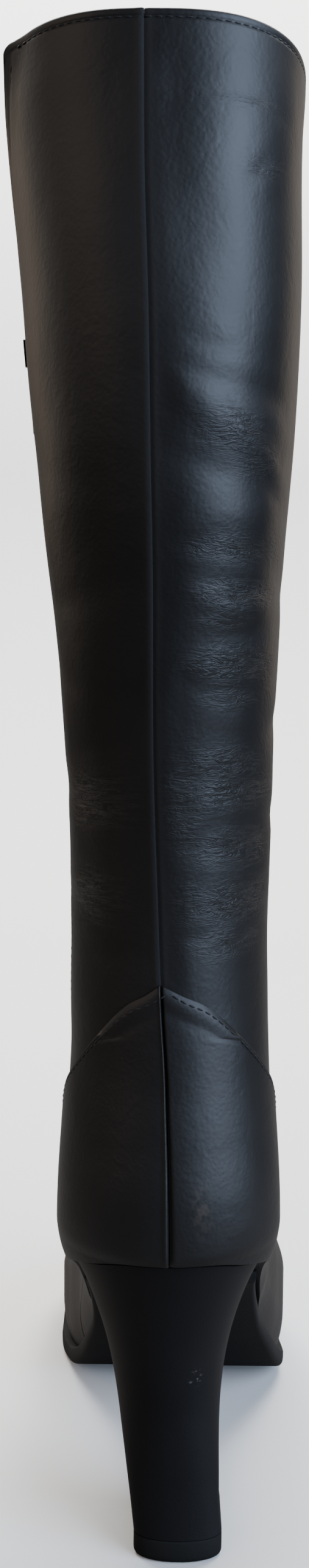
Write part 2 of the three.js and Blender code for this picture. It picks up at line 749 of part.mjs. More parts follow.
// Half of the zip: a tape behind the slit's rear edge (hand -1) or front edge
// (hand 1) with its half of the chain; the halves part above the slider
function makeZipHalf(hand) {
  const skinGap = wall + clearance * 2;
  const inside = (z) => slitEdge(z, hand) - hand * (slitWidth - clearance) / 2;
  const outside = (z) => slitEdge(z, hand) + (hand * (tapeWidth - slitWidth)) / 2;
  const chainInside = (z) => inside(z) + (hand * clearance) / 2;
  const chainOutside = (z) => inside(z) + (hand * chainWidth) / 2;
  const chainHeights = zipHeights(zipFoot + clearance * 2, bootHeight - wall * 1.5);
  const tapeHeights = [zipFoot - tapeWidth / 3, ...chainHeights, bootHeight - wall];
  const tape = shellSolid(...zipBand(tapeHeights, 3, inside, outside,
    -(skinGap + tapeThickness), -skinGap), false);
  const chain = shellSolid(...zipBand(chainHeights, 1, chainInside, chainOutside,
    -(skinGap + tapeThickness / 2), -chainDepth), false);
  return geometryOf(manifoldFrom(tape).add(manifoldFrom(chain)));
}

// Places shared by the slider and its pull, measured out from the skin
const plateFace = -chainDepth + clearance + plateThickness;
const pullAxis = plateFace + clearance + pullBarRadius;
const bailTop = pullAxis + pullBarRadius + clearance + bailThickness;
const sliderFrame = zipFrame(sliderHeight);

// Point in the slider's own frame: to the toe, up the zip, and out of the boot
function sliderPoint(side, rise, out) {
  return sliderFrame.origin.clone()
    .addScaledVector(sliderFrame.side, side)
    .addScaledVector(sliderFrame.rise, rise)
    .addScaledVector(sliderFrame.out, out);
}

// Block in the slider's frame between two corners
function sliderBlock(sideHalf, riseFrom, riseTo, outFrom, outTo, sideMiddle = 0) {
  const ring = (rise) => [
    sliderPoint(sideMiddle - sideHalf, rise, outFrom),
    sliderPoint(sideMiddle + sideHalf, rise, outFrom),
    sliderPoint(sideMiddle + sideHalf, rise, outTo),
    sliderPoint(sideMiddle - sideHalf, rise, outTo),
  ];
  return manifoldFrom(loftSolid([ring(riseFrom), ring(riseTo)]));
}

// Slider: a plate over the chain with the bail that holds the pull
function makeSlider() {
  const plateHalf = slitWidth / 2 - clearance * 2;
  const halfLength = sliderLength / 2;
  const bailHalf = bailLength / 2;
  const footing = plateFace - plateThickness / 2;
  const bailUnder = bailTop - bailThickness;
  return geometryOf(
    sliderBlock(plateHalf, -halfLength, halfLength, plateFace - plateThickness, plateFace)
      .add(sliderBlock(bailWidth / 2, -bailHalf, bailHalf, bailUnder, bailTop))
      .add(sliderBlock(bailWidth / 2, -bailHalf, -bailHalf + bailPost, footing, bailTop))
      .add(sliderBlock(bailWidth / 2, bailHalf - bailPost, bailHalf, footing, bailTop)));
}

// Pull: a bar under the bail, two arms beside it and a flat tab that hangs down
function makePull() {
  const armInner = bailWidth / 2 + clearance;
  const armWidth = pullWidth / 2 - armInner;
  const armMiddle = armInner + armWidth / 2;
  const window = bailLength / 2 + clearance * 2;
  const under = pullAxis - pullThickness / 2;
  const over = pullAxis + pullThickness / 2;
  const arms = [-1, 1].map((hand) => sliderBlock(
    armWidth / 2, -window - pullThickness, pullBarRadius, under, over, hand * armMiddle));
  const bar = sliderBlock(armMiddle, -pullBarRadius, pullBarRadius,
    pullAxis - pullBarRadius, pullAxis + pullBarRadius);
  const tab = sliderBlock(pullWidth / 2, -pullLength, -window, under, over);
  return geometryOf(bar.add(arms[0]).add(arms[1]).add(tab));
}

function part(name, geometry, color, roughness, metalness = 0) {
  const material = new THREE.MeshStandardMaterial({ color, roughness, metalness });
  const mesh = new THREE.Mesh(geometry, material);
  mesh.name = name;
  return mesh;
}

const boot = new THREE.Group();
boot.add(part('upper', makeUpper(), 0x15151a, 0.42));
boot.add(part('heel_counter', makeCounter(), 0x17171c, 0.4));
boot.add(part('insole', makeInsole(), 0x3a3029, 0.8));
boot.add(part('outsole', makeOutsole(), 0x101012, 0.7));
boot.add(part('heel', makeHeel(), 0x121214, 0.6));
boot.add(part('top_piece', makeTopPiece(), 0x0e0e10, 0.75));
boot.add(part('zip_rear', makeZipHalf(-1), 0x1c1c20, 0.5));
boot.add(part('zip_front', makeZipHalf(1), 0x1c1c20, 0.5));
boot.add(part('zip_slider', makeSlider(), 0x2a2a2e, 0.35, 0.8));
boot.add(part('zip_pull', makePull(), 0x2a2a2e, 0.35, 0.8));

export default boot;
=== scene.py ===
import bpy
import numpy as np
from math import pi, radians, sin, cos
from mathutils import Matrix, Vector


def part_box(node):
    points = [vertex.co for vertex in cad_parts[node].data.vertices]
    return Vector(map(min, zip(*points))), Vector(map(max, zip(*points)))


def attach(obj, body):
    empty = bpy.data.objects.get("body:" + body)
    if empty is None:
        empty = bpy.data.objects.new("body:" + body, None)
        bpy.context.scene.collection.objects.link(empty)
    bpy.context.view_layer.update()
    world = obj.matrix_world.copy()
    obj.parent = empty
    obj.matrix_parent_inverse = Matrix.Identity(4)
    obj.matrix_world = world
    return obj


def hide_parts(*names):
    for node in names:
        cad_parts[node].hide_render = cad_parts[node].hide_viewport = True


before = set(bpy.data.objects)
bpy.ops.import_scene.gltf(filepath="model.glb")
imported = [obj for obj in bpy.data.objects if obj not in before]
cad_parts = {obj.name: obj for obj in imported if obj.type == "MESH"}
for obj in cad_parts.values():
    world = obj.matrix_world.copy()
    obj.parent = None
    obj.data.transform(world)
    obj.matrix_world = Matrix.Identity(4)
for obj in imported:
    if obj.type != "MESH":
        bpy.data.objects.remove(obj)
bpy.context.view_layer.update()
print("stage: frame loaded")

mm = 0.001
bootHeight = float(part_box("upper")[1][2]) / mm
seatHeight = 96.0

# the last and the shaft, in millimetres; shares follow these sizes
last = {
    "length": 228.0,
    "instepRise": 54.0,
    "ballWidth": 84.0,
    "ankleWidth": 61.2,
    "collarWidth": 86.0,
    "collarDepth": 126.0,
    "collarSetback": 18.0,
    "collarLean": -9.6,
    "footLean": -3.6,
    "toeSwing": -4.0,
    "wall": 2.0,
    "soleTop": 7.0,
    "toeSpring": 8.0,
    "counterBack": -26.0,
    "ankleShare": 0.5,
    "tuckHeight": 15.0,
}

# underside of the upper: along the last, share of the heel's height, share of the spring
featherRows = np.array([
    (0, 1, 0), (0.008, 0.999, 0), (0.05, 0.963, 0), (0.1, 0.918, 0), (0.16, 0.854, 0),
    (0.22, 0.77, 0), (0.285, 0.642, 0), (0.35, 0.486, 0), (0.415, 0.324, 0), (0.48, 0.172, 0),
    (0.535, 0.075, 0), (0.59, 0.018, 0), (0.64, 0, 0), (0.8, 0, 0), (0.88, 0, 0.16),
    (0.945, 0, 0.54), (0.9925, 0, 1), (1.02, 0, 1.3),
])

# foot: along, half width inside, half width outside, tuck in walls, swing of the toe
footRows = np.array([
    (0, 0.376, 0.376, 1.6, 0), (0.13, 0.386, 0.388, 1.6, 0), (0.26, 0.352, 0.38, 1.6, 0),
    (0.37, 0.328, 0.402, 1.5, 0), (0.48, 0.37, 0.474, 1.3, 0), (0.58, 0.436, 0.522, 1.2, 0),
    (0.66, 0.476, 0.512, 1.1, 0.05), (0.755, 0.472, 0.474, 1.1, 0.25),
    (0.88, 0.428, 0.414, 1.1, 0.6), (1, 0.368, 0.354, 1.1, 1),
])

# front outline over the toe and instep: height share, reach share
instepRows = np.array([
    (0, 0.9925), (0.026, 1), (0.054, 0.994), (0.085, 0.971), (0.115, 0.933), (0.16, 0.872),
    (0.22, 0.795), (0.29, 0.719), (0.38, 0.648), (0.48, 0.588), (0.6, 0.533), (0.72, 0.489),
    (0.85, 0.454), (1, 0.43),
])

# shaft: height share, back, depth, flare, lean
shaftRows = np.array([
    (0, 0.07, 0.9, 0.02, 0.34), (0.012, 0, 0.89, 0.02, 0.35), (0.048, 0.03, 0.86, 0.02, 0.37),
    (0.1, 0.19, 0.8, 0.01, 0.38), (0.16, 0.39, 0.726, 0, 0.36), (0.215, 0.5, 0.688, 0.01, 0.4),
    (0.265, 0.53, 0.678, 0, 0.41), (0.34, 0.42, 0.695, 0.01, 0.42), (0.43, 0.17, 0.745, 0.07, 0.45),
    (0.545, -0.28, 0.843, 0.27, 0.52), (0.665, -0.72, 0.93, 0.53, 0.65),
    (0.785, -0.96, 0.977, 0.74, 0.74), (0.9, -1, 0.995, 0.9, 0.9), (1, -1, 1, 1, 1),
])

# roundness: height share, rear length, rear power, front length, front power
roundRows = np.array([
    (0.035, 0.25, 2.1, 0.4, 2), (0.125, 0.25, 2.1, 0.5, 2.2), (0.22, 0.25, 2.15, 0.44, 2.2),
    (0.3, 0.29, 2.1, 0.39, 2.1), (0.39, 0.32, 2.05, 0.34, 2.1), (0.44, 0.335, 2.05, 0.33, 2.1),
    (0.58, 0.39, 2.1, 0.37, 2.1), (0.78, 0.47, 2.35, 0.46, 2.2), (1, 0.5, 2.7, 0.5, 2.2),
])


# smooth curve through rows: cubic between neighbours, with harmonic-mean slopes, no overshoot
def curveThrough(xs, ys):
    span = np.diff(xs)
    slope = np.diff(ys) / span
    before, after = slope[:-1], slope[1:]
    weightA, weightB = 2 * span[1:] + span[:-1], span[1:] + 2 * span[:-1]
    same = before * after > 0
    safeA, safeB = np.where(same, before, 1.0), np.where(same, after, 1.0)
    mean = (weightA + weightB) / (weightA / safeA + weightB / safeB)
    tangent = np.concatenate([slope[:1], np.where(same, mean, 0.0), slope[-1:]])

    def curve(x):
        x = np.clip(x, xs[0], xs[-1])
        i = np.clip(np.searchsorted(xs, x, side="right") - 1, 0, len(xs) - 2)
        t = (x - xs[i]) / span[i]
        s = 1 - t
        return (ys[i] * (1 + 2 * t) * s * s + tangent[i] * span[i] * t * s * s
                + ys[i + 1] * t * t * (3 - 2 * t) - tangent[i + 1] * span[i] * t * t * s)
    return curve


# one curve for each column of a table after the first, over the first
def curvesOf(rows):
    return [curveThrough(rows[:, 0], column) for column in rows.T[1:]]


def smooth(low, high, x):  # 3t² - 2t³ between the two ends
    t = np.clip((x - low) / (high - low), 0, 1)
    return t * t * (3 - 2 * t)


# superellipse: 0 at the rounded end, 1 once the round is passed
def fullness(distance, length, power):
    left = 1 - np.clip(distance / length, 0, 1)
    return np.clip(1 - left ** power, 0, 1) ** (1 / power)


seatShare, springShare = curvesOf(featherRows)
medialShare, lateralShare, tuckShare, swingShare = curvesOf(footRows)
backShare, depthShare, flareShare, leanShare = curvesOf(shaftRows)
rearLength, rearPower, frontLength, frontPower = curvesOf(roundRows)

toeHeight = last["soleTop"] + last["toeSpring"]
instepHeight = seatHeight + last["instepRise"]
ankleHeight = instepHeight + 10
shaftHeight = bootHeight - seatHeight


# height of the upper's underside along the last
def featherHeight(along):
    share = along / last["length"]
    seat = (seatHeight - last["soleTop"]) * seatShare(share)
    return last["soleTop"] + seat + last["toeSpring"] * springShare(share)


def shaftLevel(z):  # share of the shaft's height, 0 at the seat of the heel
    return (z - seatHeight) / shaftHeight


def backLine(z):  # how far the back stands forward of the counter's back
    return last["collarSetback"] * backShare(shaftLevel(z))


shaftZ = seatHeight + shaftHeight * shaftRows[:, 0]
aboveAnkle = shaftZ > ankleHeight
frontZ = np.concatenate([
    toeHeight + (instepHeight - toeHeight) * instepRows[:, 0], shaftZ[aboveAnkle]])
frontY = np.concatenate([
    last["length"] * instepRows[:, 1],
    backLine(shaftZ[aboveAnkle]) + last["collarDepth"] * shaftRows[aboveAnkle, 2]])
frontLine = curveThrough(frontZ, frontY)


# outer face: climb 0 underside to 1 collar; turn from the toe by the inner side (negative) to
# the back (0) and on; x is the section's middle plus half width times rear and front fullness
def upperPoint(climb, turn):
    climb, turn = np.broadcast_arrays(climb, turn)
    across = (1 - np.cos(turn)) / 2
    foot = np.clip(climb / last["ankleShare"], 0, 1)
    shaft = np.clip((climb - last["ankleShare"]) / (1 - last["ankleShare"]), 0, 1)
    rise = (bootHeight - ankleHeight) * shaft
    backHeight = seatHeight + (ankleHeight - seatHeight) * foot + rise
    frontHeight = toeHeight + (ankleHeight - toeHeight) * foot ** 1.6 + rise
    backPlace, frontPlace = backLine(backHeight), frontLine(frontHeight)
    along = backPlace + (frontPlace - backPlace) * across
    level = smooth(0.3, 1, foot)
    flat = seatHeight + (featherHeight(frontPlace) - seatHeight) * across
    base = featherHeight(along) * (1 - level) + flat * level
    backBase = featherHeight(backPlace) * (1 - level) + seatHeight * level
    rear, fore = backHeight - backBase, frontHeight - featherHeight(frontPlace)
    z = base + rear * (1 - across) + fore * across
    inShaft = smooth(seatHeight + 4, ankleHeight, z)
    share, high = along / last["length"], z / bootHeight
    tuck = 1 - np.clip((z - featherHeight(along)) / last["tuckHeight"], 0, 1)
    inset = last["wall"] * tuckShare(share) * tuck * tuck
    depth = last["collarDepth"]
    body = (fullness(along - backLine(z), depth * rearLength(high), rearPower(high))
            * fullness(frontLine(z) - along, depth * frontLength(high), frontPower(high)))
    flare = flareShare(shaftLevel(z))
    shaftHalf = (last["ankleWidth"] + (last["collarWidth"] - last["ankleWidth"]) * flare) / 2
    footMiddle = last["footLean"] + last["toeSwing"] * swingShare(share)
    middle = footMiddle + (last["collarLean"] * leanShare(shaftLevel(z)) - footMiddle) * inShaft
    inner = np.sin(turn) < 0
    footHalf = last["ballWidth"] * np.where(inner, medialShare(share), lateralShare(share)) - inset
    half = (footHalf + (shaftHalf - footHalf) * inShaft) * body
    x = middle + np.where(inner, -half, half)
    return np.stack([x, last["counterBack"] + along, z], -1)


def unitRows(v):
    return v / np.linalg.norm(v, axis=-1, keepdims=True)


# cross product of the two tangents, turned level at the underside and the collar
def upperNormal(climb, turn):
    step = 0.004
    low = upperPoint(np.clip(climb - step, 0, 1), turn)
    high = upperPoint(np.clip(climb + step, 0, 1), turn)
    aside = upperPoint(climb, turn + 4 * step) - upperPoint(climb, turn - 4 * step)
    normal = np.cross(aside, high - low)
    normal[..., 2] *= smooth(0, 0.08, climb) * (1 - smooth(0.96, 1, climb))
    return unitRows(normal)


def upperOffset(climb, turn, distance):  # point plus distance times normal
    climb, turn = np.broadcast_arrays(climb, turn)
    distance = np.broadcast_to(distance, climb.shape)
    return upperPoint(climb, turn) + upperNormal(climb, turn) * distance[..., None]


# climb at which each column reaches a height, by halving the interval
def climbToHeight(turn, z):
    turn, z = np.broadcast_arrays(turn, z)
    low, high = np.zeros(turn.shape), np.ones(turn.shape)
    for _ in range(26):
        middle = (low + high) / 2
        under = upperPoint(middle, turn)[..., 2] < z
        low, high = np.where(under, middle, low), np.where(under, high, middle)
    return (low + high) / 2


# numpy surfaces into Blender meshes; a part is its points, quads and triangles

noTriangles = np.zeros((0, 3), int)


def addObject(name, data):
    made = bpy.data.objects.new(name, data)
    bpy.context.scene.collection.objects.link(made)
    return made


def meshFrom(name, part, material, fields=None, sharp=45):
    points, *faces = part
    mesh = bpy.data.meshes.new(name)
    loops = np.concatenate([f.ravel() for f in faces]).astype(np.int32)
    sizes = np.concatenate([np.full(len(f), f.shape[1]) for f in faces]).astype(np.int32)
    starts = np.concatenate([[0], np.cumsum(sizes)[:-1]]).astype(np.int32)
    mesh.vertices.add(len(points))
    mesh.vertices.foreach_set("co", (points * mm).astype(np.float32).ravel())
    mesh.loops.add(len(loops))
    mesh.loops.foreach_set("vertex_index", loops)
    mesh.polygons.add(len(sizes))
    mesh.polygons.foreach_set("loop_start", starts)
    mesh.update(calc_edges=True)
    mesh.validate()
    mesh.shade_smooth()
    mesh.set_sharp_from_angle(angle=radians(sharp))
    for field, values in (fields or {}).items():
        data = mesh.attributes.new(field, "FLOAT", "POINT").data
        data.foreach_set("value", values.astype(np.float32).ravel())
    mesh.materials.append(material)
    return addObject(name, mesh)


# quads of a grid of rows by columns, closed round the columns or not
def gridQuads(rows, columns, closed=False):
    r = np.arange(rows - 1)[:, None] * columns
    c = np.arange(columns if closed else columns - 1)[None, :]
    n = (c + 1) % columns
    corners = np.broadcast_arrays(r + c, r + n, r + columns + n, r + columns + c)
    return np.stack(corners, -1).reshape(-1, 4)


def turnedOut(part):  # flips every face if the signed volume is negative
    points, quads, triangles = part
    tris = np.concatenate([quads[:, :3], quads[:, [0, 2, 3]], triangles])
    a, b, c = (points[tris[:, k]] for k in range(3))
    if np.einsum("ij,ij->i", a, np.cross(b, c)).sum() < 0:
        return points, quads[:, ::-1], triangles[:, ::-1]
    return part


# closed shell between an outer and an inner grid: both faces and the strips along the four edges
def shellPart(outer, inner):
    rows, columns = outer.shape[:2]
    half = rows * columns
    points = np.concatenate([outer.reshape(-1, 3), inner.reshape(-1, 3)])
    c = np.arange(columns - 1)
    r = np.arange(rows - 1) * columns
    top = c + (rows - 1) * columns
    end = r + columns - 1
    strips = [np.stack(corners, -1) for corners in (
        (half + c, half + c + 1, c + 1, c),
        (top, top + 1, half + top + 1, half + top),
        (half + r, r, r + columns, half + r + columns),
        (end, half + end, half + end + columns, end + columns))]
    front = gridQuads(rows, columns)
    faces = [front, half + front[:, ::-1], *strips]
    return turnedOut((points, np.concatenate(faces), noTriangles))


# solid through closed loops, capped by strips between partner points of the first and last loop
def loftPart(loops):
    loops = np.array(loops)
    rows, count = loops.shape[:2]
    quads = [gridQuads(rows, count, True)]
    triangles = []
    pairs = np.arange((count - 1) // 2 + 1)
    for base, flip in ((0, True), ((rows - 1) * count, False)):
        a, b, c, d = pairs, pairs + 1, count - pairs - 1, (count - pairs) % count
        ring = np.stack([a, b, c, d], -1)[b <= c]
        tip = ring[:, 0] == ring[:, 3]
        point = tip | (ring[:, 1] == ring[:, 2])
        whole = ring[~point]
        short = np.where(tip[:, None], ring[:, :3], ring[:, [0, 1, 3]])[point]
        quads.append(base + (whole[:, ::-1] if flip else whole))
        triangles.append(base + (short[:, ::-1] if flip else short))
    return turnedOut((loops.reshape(-1, 3), np.concatenate(quads), np.concatenate(triangles)))


# several parts of one piece put together
def joinParts(parts):
    starts = np.cumsum([0] + [len(part[0]) for part in parts[:-1]])
    moved = [(p, quads + start, triangles + start)
             for (p, quads, triangles), start in zip(parts, starts)]
    return tuple(np.concatenate(kind) for kind in zip(*moved))


# materials

def newMaterial(name):
    material = bpy.data.materials.new(name)
    material.use_nodes = True
    return material, material.node_tree, material.node_tree.nodes["Principled BSDF"]


# fills a node's inputs, each with a plain value or with the socket that feeds it
def feed(tree, node, inputs):
    for key, value in inputs.items():
        if isinstance(value, bpy.types.NodeSocket):
            tree.links.new(value, node.inputs[key])
        else:
            node.inputs[key].default_value = value


# a node with its own settings and its inputs filled; gives its outputs
def addNode(tree, kind, inputs, **settings):
    node = tree.nodes.new("ShaderNode" + kind)
    for setting, value in settings.items():
        setattr(node, setting, value)
    feed(tree, node, inputs)
    return node.outputs


def addMath(tree, operation, *values, kind="Math", result="Value"):
    return addNode(tree, kind, dict(enumerate(values)), operation=operation)[result]


def addMix(tree, factor, low, high):
    return addNode(tree, "Mix", {"Factor": factor, "A": low, "B": high},
                   data_type="RGBA")["Result"]


# a node group; each socket is a name, a kind and perhaps a value
def newGroup(name, inputs, outputs):
    tree = bpy.data.node_groups.new(name, "ShaderNodeTree")
    for way, sockets in (("INPUT", inputs), ("OUTPUT", outputs)):
        for label, kind, *value in sockets:
            socket = tree.interface.new_socket(
                name=label, in_out=way, socket_type="NodeSocket" + kind)
            if value:
                socket.default_value = value[0]
    return tree, tree.nodes.new("NodeGroupInput").outputs, tree.nodes.new("NodeGroupOutput").inputs


grainLook = {
    "wrinkle": {"Scale": 160, "Detail": 6, "Distortion": 0.6},
    "wrinkleHeight": 0.0006,
    "crinkleStretch": (150, 150, 600),
    "crinkle": {"Scale": 1.0, "Detail": 4, "Distortion": 1.6},
    "crinklePower": 0.6,   # below 1 the lines between the crinkles get sharper
    "crinkleHeight": 0.0007,
    "pebbleHeight": 0.0002,
    "mottle": {"Scale": 28, "Detail": 5},
}


# grain: wrinkles, crinkles and pebble cells as bumps one over the other, and a mottled mask
def makeGrainGroup():
    tree, ins, outs = newGroup("leatherGrain", (
        ("Vector", "Vector"), ("Pebble size", "Float", 900.0), ("Pebble depth", "Float", 0.2),
        ("Wrinkle depth", "Float", 0.3), ("Crinkle", "Float", 0.0),
    ), (("Mottle", "Float"), ("Normal", "Vector")))
    place = ins["Vector"]
    wrinkle = addNode(tree, "TexNoise", {"Vector": place, **grainLook["wrinkle"]})
    first = addNode(tree, "Bump", {
        "Height": wrinkle["Fac"], "Strength": ins["Wrinkle depth"],
        "Distance": grainLook["wrinkleHeight"]})
    # crinkles: noise drawn out round the boot, sharpened into lines, kept to the creased places
    drawn = addNode(tree, "Mapping", {"Vector": place, "Scale": grainLook["crinkleStretch"]})
    lines = addNode(tree, "TexNoise", {"Vector": drawn["Vector"], **grainLook["crinkle"]})
    folded = addMath(tree, "ABSOLUTE", addMath(tree, "SUBTRACT", lines["Fac"], 0.5))
    ridge = addMath(tree, "POWER", folded, grainLook["crinklePower"])
    second = addNode(tree, "Bump", {
        "Height": addMath(tree, "MULTIPLY", ridge, ins["Crinkle"]), "Strength": 1.0,
        "Distance": grainLook["crinkleHeight"], "Normal": first["Normal"]})
    pebble = addNode(tree, "TexVoronoi", {"Vector": place, "Scale": ins["Pebble size"]},
                     feature="SMOOTH_F1")
    third = addNode(tree, "Bump", {
        "Height": pebble["Distance"], "Strength": ins["Pebble depth"],
        "Distance": grainLook["pebbleHeight"], "Normal": second["Normal"]})
    mottle = addNode(tree, "TexNoise", {"Vector": place, **grainLook["mottle"]})
    tree.links.new(mottle["Fac"], outs["Mottle"])
    tree.links.new(third["Normal"], outs["Normal"])
    return tree


grainGroup = makeGrainGroup()

leatherLook = {
    "dark": (0.0034, 0.0031, 0.0031, 1),
    "light": (0.0095, 0.0085, 0.0082, 1),
    "roughLow": 0.40,
    "roughHigh": 0.56,
    "dullRise": 0.45,      # roughness added where the seams' "dull" is 1
    "ior": 1.4,
    "gloss": 0.5,
    "metallic": 0.0,
    "pebbleSize": 900.0,
    "pebbleDepth": 0.22,
    "wrinkleDepth": 0.25,
}


# leather: base colour and roughness follow the mottled mask, bump from the grain group
def leatherMaterial(name, **changes):
    look = {**leatherLook, **changes}
    material, tree, shader = newMaterial(name)
    place = addNode(tree, "TexCoord", {})
    creased, worn = (addNode(tree, "Attribute", {}, attribute_name=field)["Fac"]
                     for field in ("crinkle", "dull"))
    grain = addNode(tree, "Group", {
        "Vector": place["Object"], "Pebble size": look["pebbleSize"],
        "Pebble depth": look["pebbleDepth"], "Wrinkle depth": look["wrinkleDepth"],
        "Crinkle": creased}, node_tree=grainGroup)
    rough = addNode(tree, "MapRange", {
        "Value": grain["Mottle"], "To Min": look["roughLow"], "To Max": look["roughHigh"]})
    feed(tree, shader, {
        "Base Color": addMix(tree, grain["Mottle"], look["dark"], look["light"]),
        "Roughness": addMath(tree, "MULTIPLY_ADD", worn, look["dullRise"], rough["Result"]),
        "IOR": look["ior"], "Specular IOR Level": look["gloss"],
        "Metallic": look["metallic"], "Normal": grain["Normal"]})
    return material


# scuff: 1 where speckled noise is high and the stretched distance from a place is within reach
def makeScuffGroup():
    tree, ins, outs = newGroup("scuffMark", (
        ("Vector", "Vector"), ("Place", "Vector"), ("Stretch", "Vector", (1, 1, 1)),
        ("Reach", "Float", 0.003), ("Speck size", "Float", 850.0), ("Threshold", "Float", 0.56),
    ), (("Mask", "Float"),))
    vector = {"kind": "VectorMath", "result": "Vector"}
    away = addMath(tree, "SUBTRACT", ins["Vector"], ins["Place"], **vector)
    drawn = addMath(tree, "MULTIPLY", away, ins["Stretch"], **vector)
    far = addMath(tree, "LENGTH", drawn, kind="VectorMath")
    near = addNode(tree, "MapRange", {
        "Value": far, "From Min": ins["Reach"], "From Max": 0.0}, interpolation_type="SMOOTHSTEP")
    specks = addNode(tree, "TexNoise", {"Vector": ins["Vector"], "Scale": ins["Speck size"]})
    sharp = addNode(tree, "MapRange", {
        "Value": specks["Fac"], "From Min": ins["Threshold"],
        "From Max": addMath(tree, "ADD", ins["Threshold"], 0.1)})
    tree.links.new(addMath(tree, "MULTIPLY", near["Result"], sharp["Result"]), outs["Mask"])
    return tree


scuffGroup = makeScuffGroup()


# mixes a scuff's colour over the base colour that is already there
def addScuff(material, color, values):
    tree = material.node_tree
    shader = tree.nodes["Principled BSDF"]
    place = addNode(tree, "TexCoord", {})["Object"]
    scuff = addNode(tree, "Group", {"Vector": place, **values}, node_tree=scuffGroup)
    base = shader.inputs["Base Color"].links[0].from_socket
    feed(tree, shader, {"Base Color": addMix(tree, scuff["Mask"], base, color)})


leather = leatherMaterial("bootLeather")
liningLeather = leatherMaterial(
    "liningLeather", dark=(0.012, 0.010, 0.009, 1), light=(0.03, 0.026, 0.023, 1),
    roughLow=0.6, roughHigh=0.8)
heelCover = leatherMaterial(
    "heelCover", dark=(0.004, 0.0038, 0.004, 1), light=(0.009, 0.0085, 0.0088, 1), gloss=0.22,
    roughLow=0.5, roughHigh=0.62, pebbleSize=1600.0, pebbleDepth=0.15, wrinkleDepth=0.05)
addScuff(heelCover, (0.12, 0.115, 0.11, 1), {"Place": (0.0055, -0.0137, 0.057), "Reach": 0.0042})
counterLeather = leatherMaterial("counterLeather")
addScuff(counterLeather, (0.028, 0.022, 0.017, 1), {
    "Place": (0.0062, -0.0265, 0.114), "Stretch": (1, 0.5, 0.4), "Reach": 0.0045,
    "Speck size": 420.0, "Threshold": 0.44})
soleRubber = leatherMaterial(
    "soleRubber", dark=(0.005, 0.0048, 0.0046, 1), light=(0.012, 0.0115, 0.011, 1), gloss=0.3,
    roughLow=0.55, roughHigh=0.75, pebbleSize=1300.0, wrinkleDepth=0.1)
topRubber = leatherMaterial(
    "topPieceRubber", dark=(0.006, 0.006, 0.006, 1), light=(0.014, 0.014, 0.013, 1), gloss=0.15,
    roughLow=0.6, roughHigh=0.8, wrinkleDepth=0.1)
threadBlack = leatherMaterial(
    "threadBlack", dark=(0.006, 0.006, 0.007, 1), light=(0.012, 0.012, 0.013, 1),
    roughLow=0.5, roughHigh=0.7, pebbleSize=3000.0)
zipMetal = leatherMaterial(
    "zipLacquer", dark=(0.02, 0.02, 0.021, 1), light=(0.035, 0.035, 0.037, 1), metallic=1.0,
    roughLow=0.25, roughHigh=0.35, pebbleDepth=0.03, wrinkleDepth=0.02)
print("stage: materials made")

# seam lines and edges of the upper

seams = {
    "backLift": 0.22,      # raised lip beside the back seam
    "backLip": 2.4,        # width of the lip
    "backGroove": 0.28,    # depth of the groove
    "backGap": 0.04,       # space between the two panels
    "seamDrop": 0.25,
    "slitWidth": 7.2,
    "slitFoot": 126.0,
    "sliderHeight": 360.0,
    "zipOpen": 73.0,
    "zipPlace": 0.5,
    "rearSpread": 34.0,
    "frontSpread": 9.0,
    "edgeBand": 2.2,       # stitched margin along the collar and the zip
    "edgeDip": 0.22,
    "edgeEase": 0.45,
    "closedHalf": 0.18,    # half of the gap where the zip is closed
    "cornerRound": 3.4,
    "cornerFrom": 0.93,    # climb from which the corner is rounded
    "flare": 3.2,          # how far the loose rear corner bends out
    "flareFrom": 388.0,
    "flareReach": 12.0,
    "zipBand": 4.0,
    "leather": 1.5,
    "climbLength": 546.0,  # millimetres of shaft for a whole climb
    "rows": 236,
    "foldsFrom": (150, 182),
    "foldsUpTo": (416, 431),
    "foldsFromSeam": (2, 9),
    "slackFrom": (60, 130),
}

# back seam: height and how far it runs beside the middle of the back, towards the inner side
seamRows = np.array([
    (87, 0.46), (121, 0), (160, -1.6), (190, -2.94), (247, -4.6), (312, -3.6), (377, -3.2),
    (433, -1.9),
])
seamAcross, = curvesOf(seamRows)


# turn of a line beside the back seam: distance from the middle of the back over the skin's
# speed round the section
def seamTurn(climb, distance):
    near = 0.065
    chord = np.linalg.norm(upperPoint(climb, near) - upperPoint(climb, -near), axis=-1)
    return (seamAcross(upperPoint(climb, 0.0)[..., 2]) + distance) * 2 * near / chord


# distance forward of the zip's middle where the slit ends, rear side -1 and front side 1
def slitEdge(z, hand):
    part = np.clip((z - seams["sliderHeight"]) / seams["zipOpen"], 0, 1)
    opened = smooth(seams["slitFoot"] - 5, seams["slitFoot"] + 3, z)
    half = seams["closedHalf"] + (seams["slitWidth"] / 2 - seams["closedHalf"]) * opened
    return hand * half + (-seams["rearSpread"] if hand < 0 else seams["frontSpread"]) * part


def zipTurn(z, forward):  # -acos(1 - 2 place), place = share of the section's depth
    place = seams["zipPlace"] + forward / (last["collarDepth"] * depthShare(shaftLevel(z)))
    return -np.arccos(1 - 2 * place)


# turn of a line given as a distance forward of the zip at each height, on a row of the upper
def zipLine(climb, forwardAt):
    turn = np.full(np.shape(climb), -pi / 2)
    for _ in range(5):
        z = upperPoint(climb, turn)[..., 2]
        turn = zipTurn(z, forwardAt(z))
    return turn


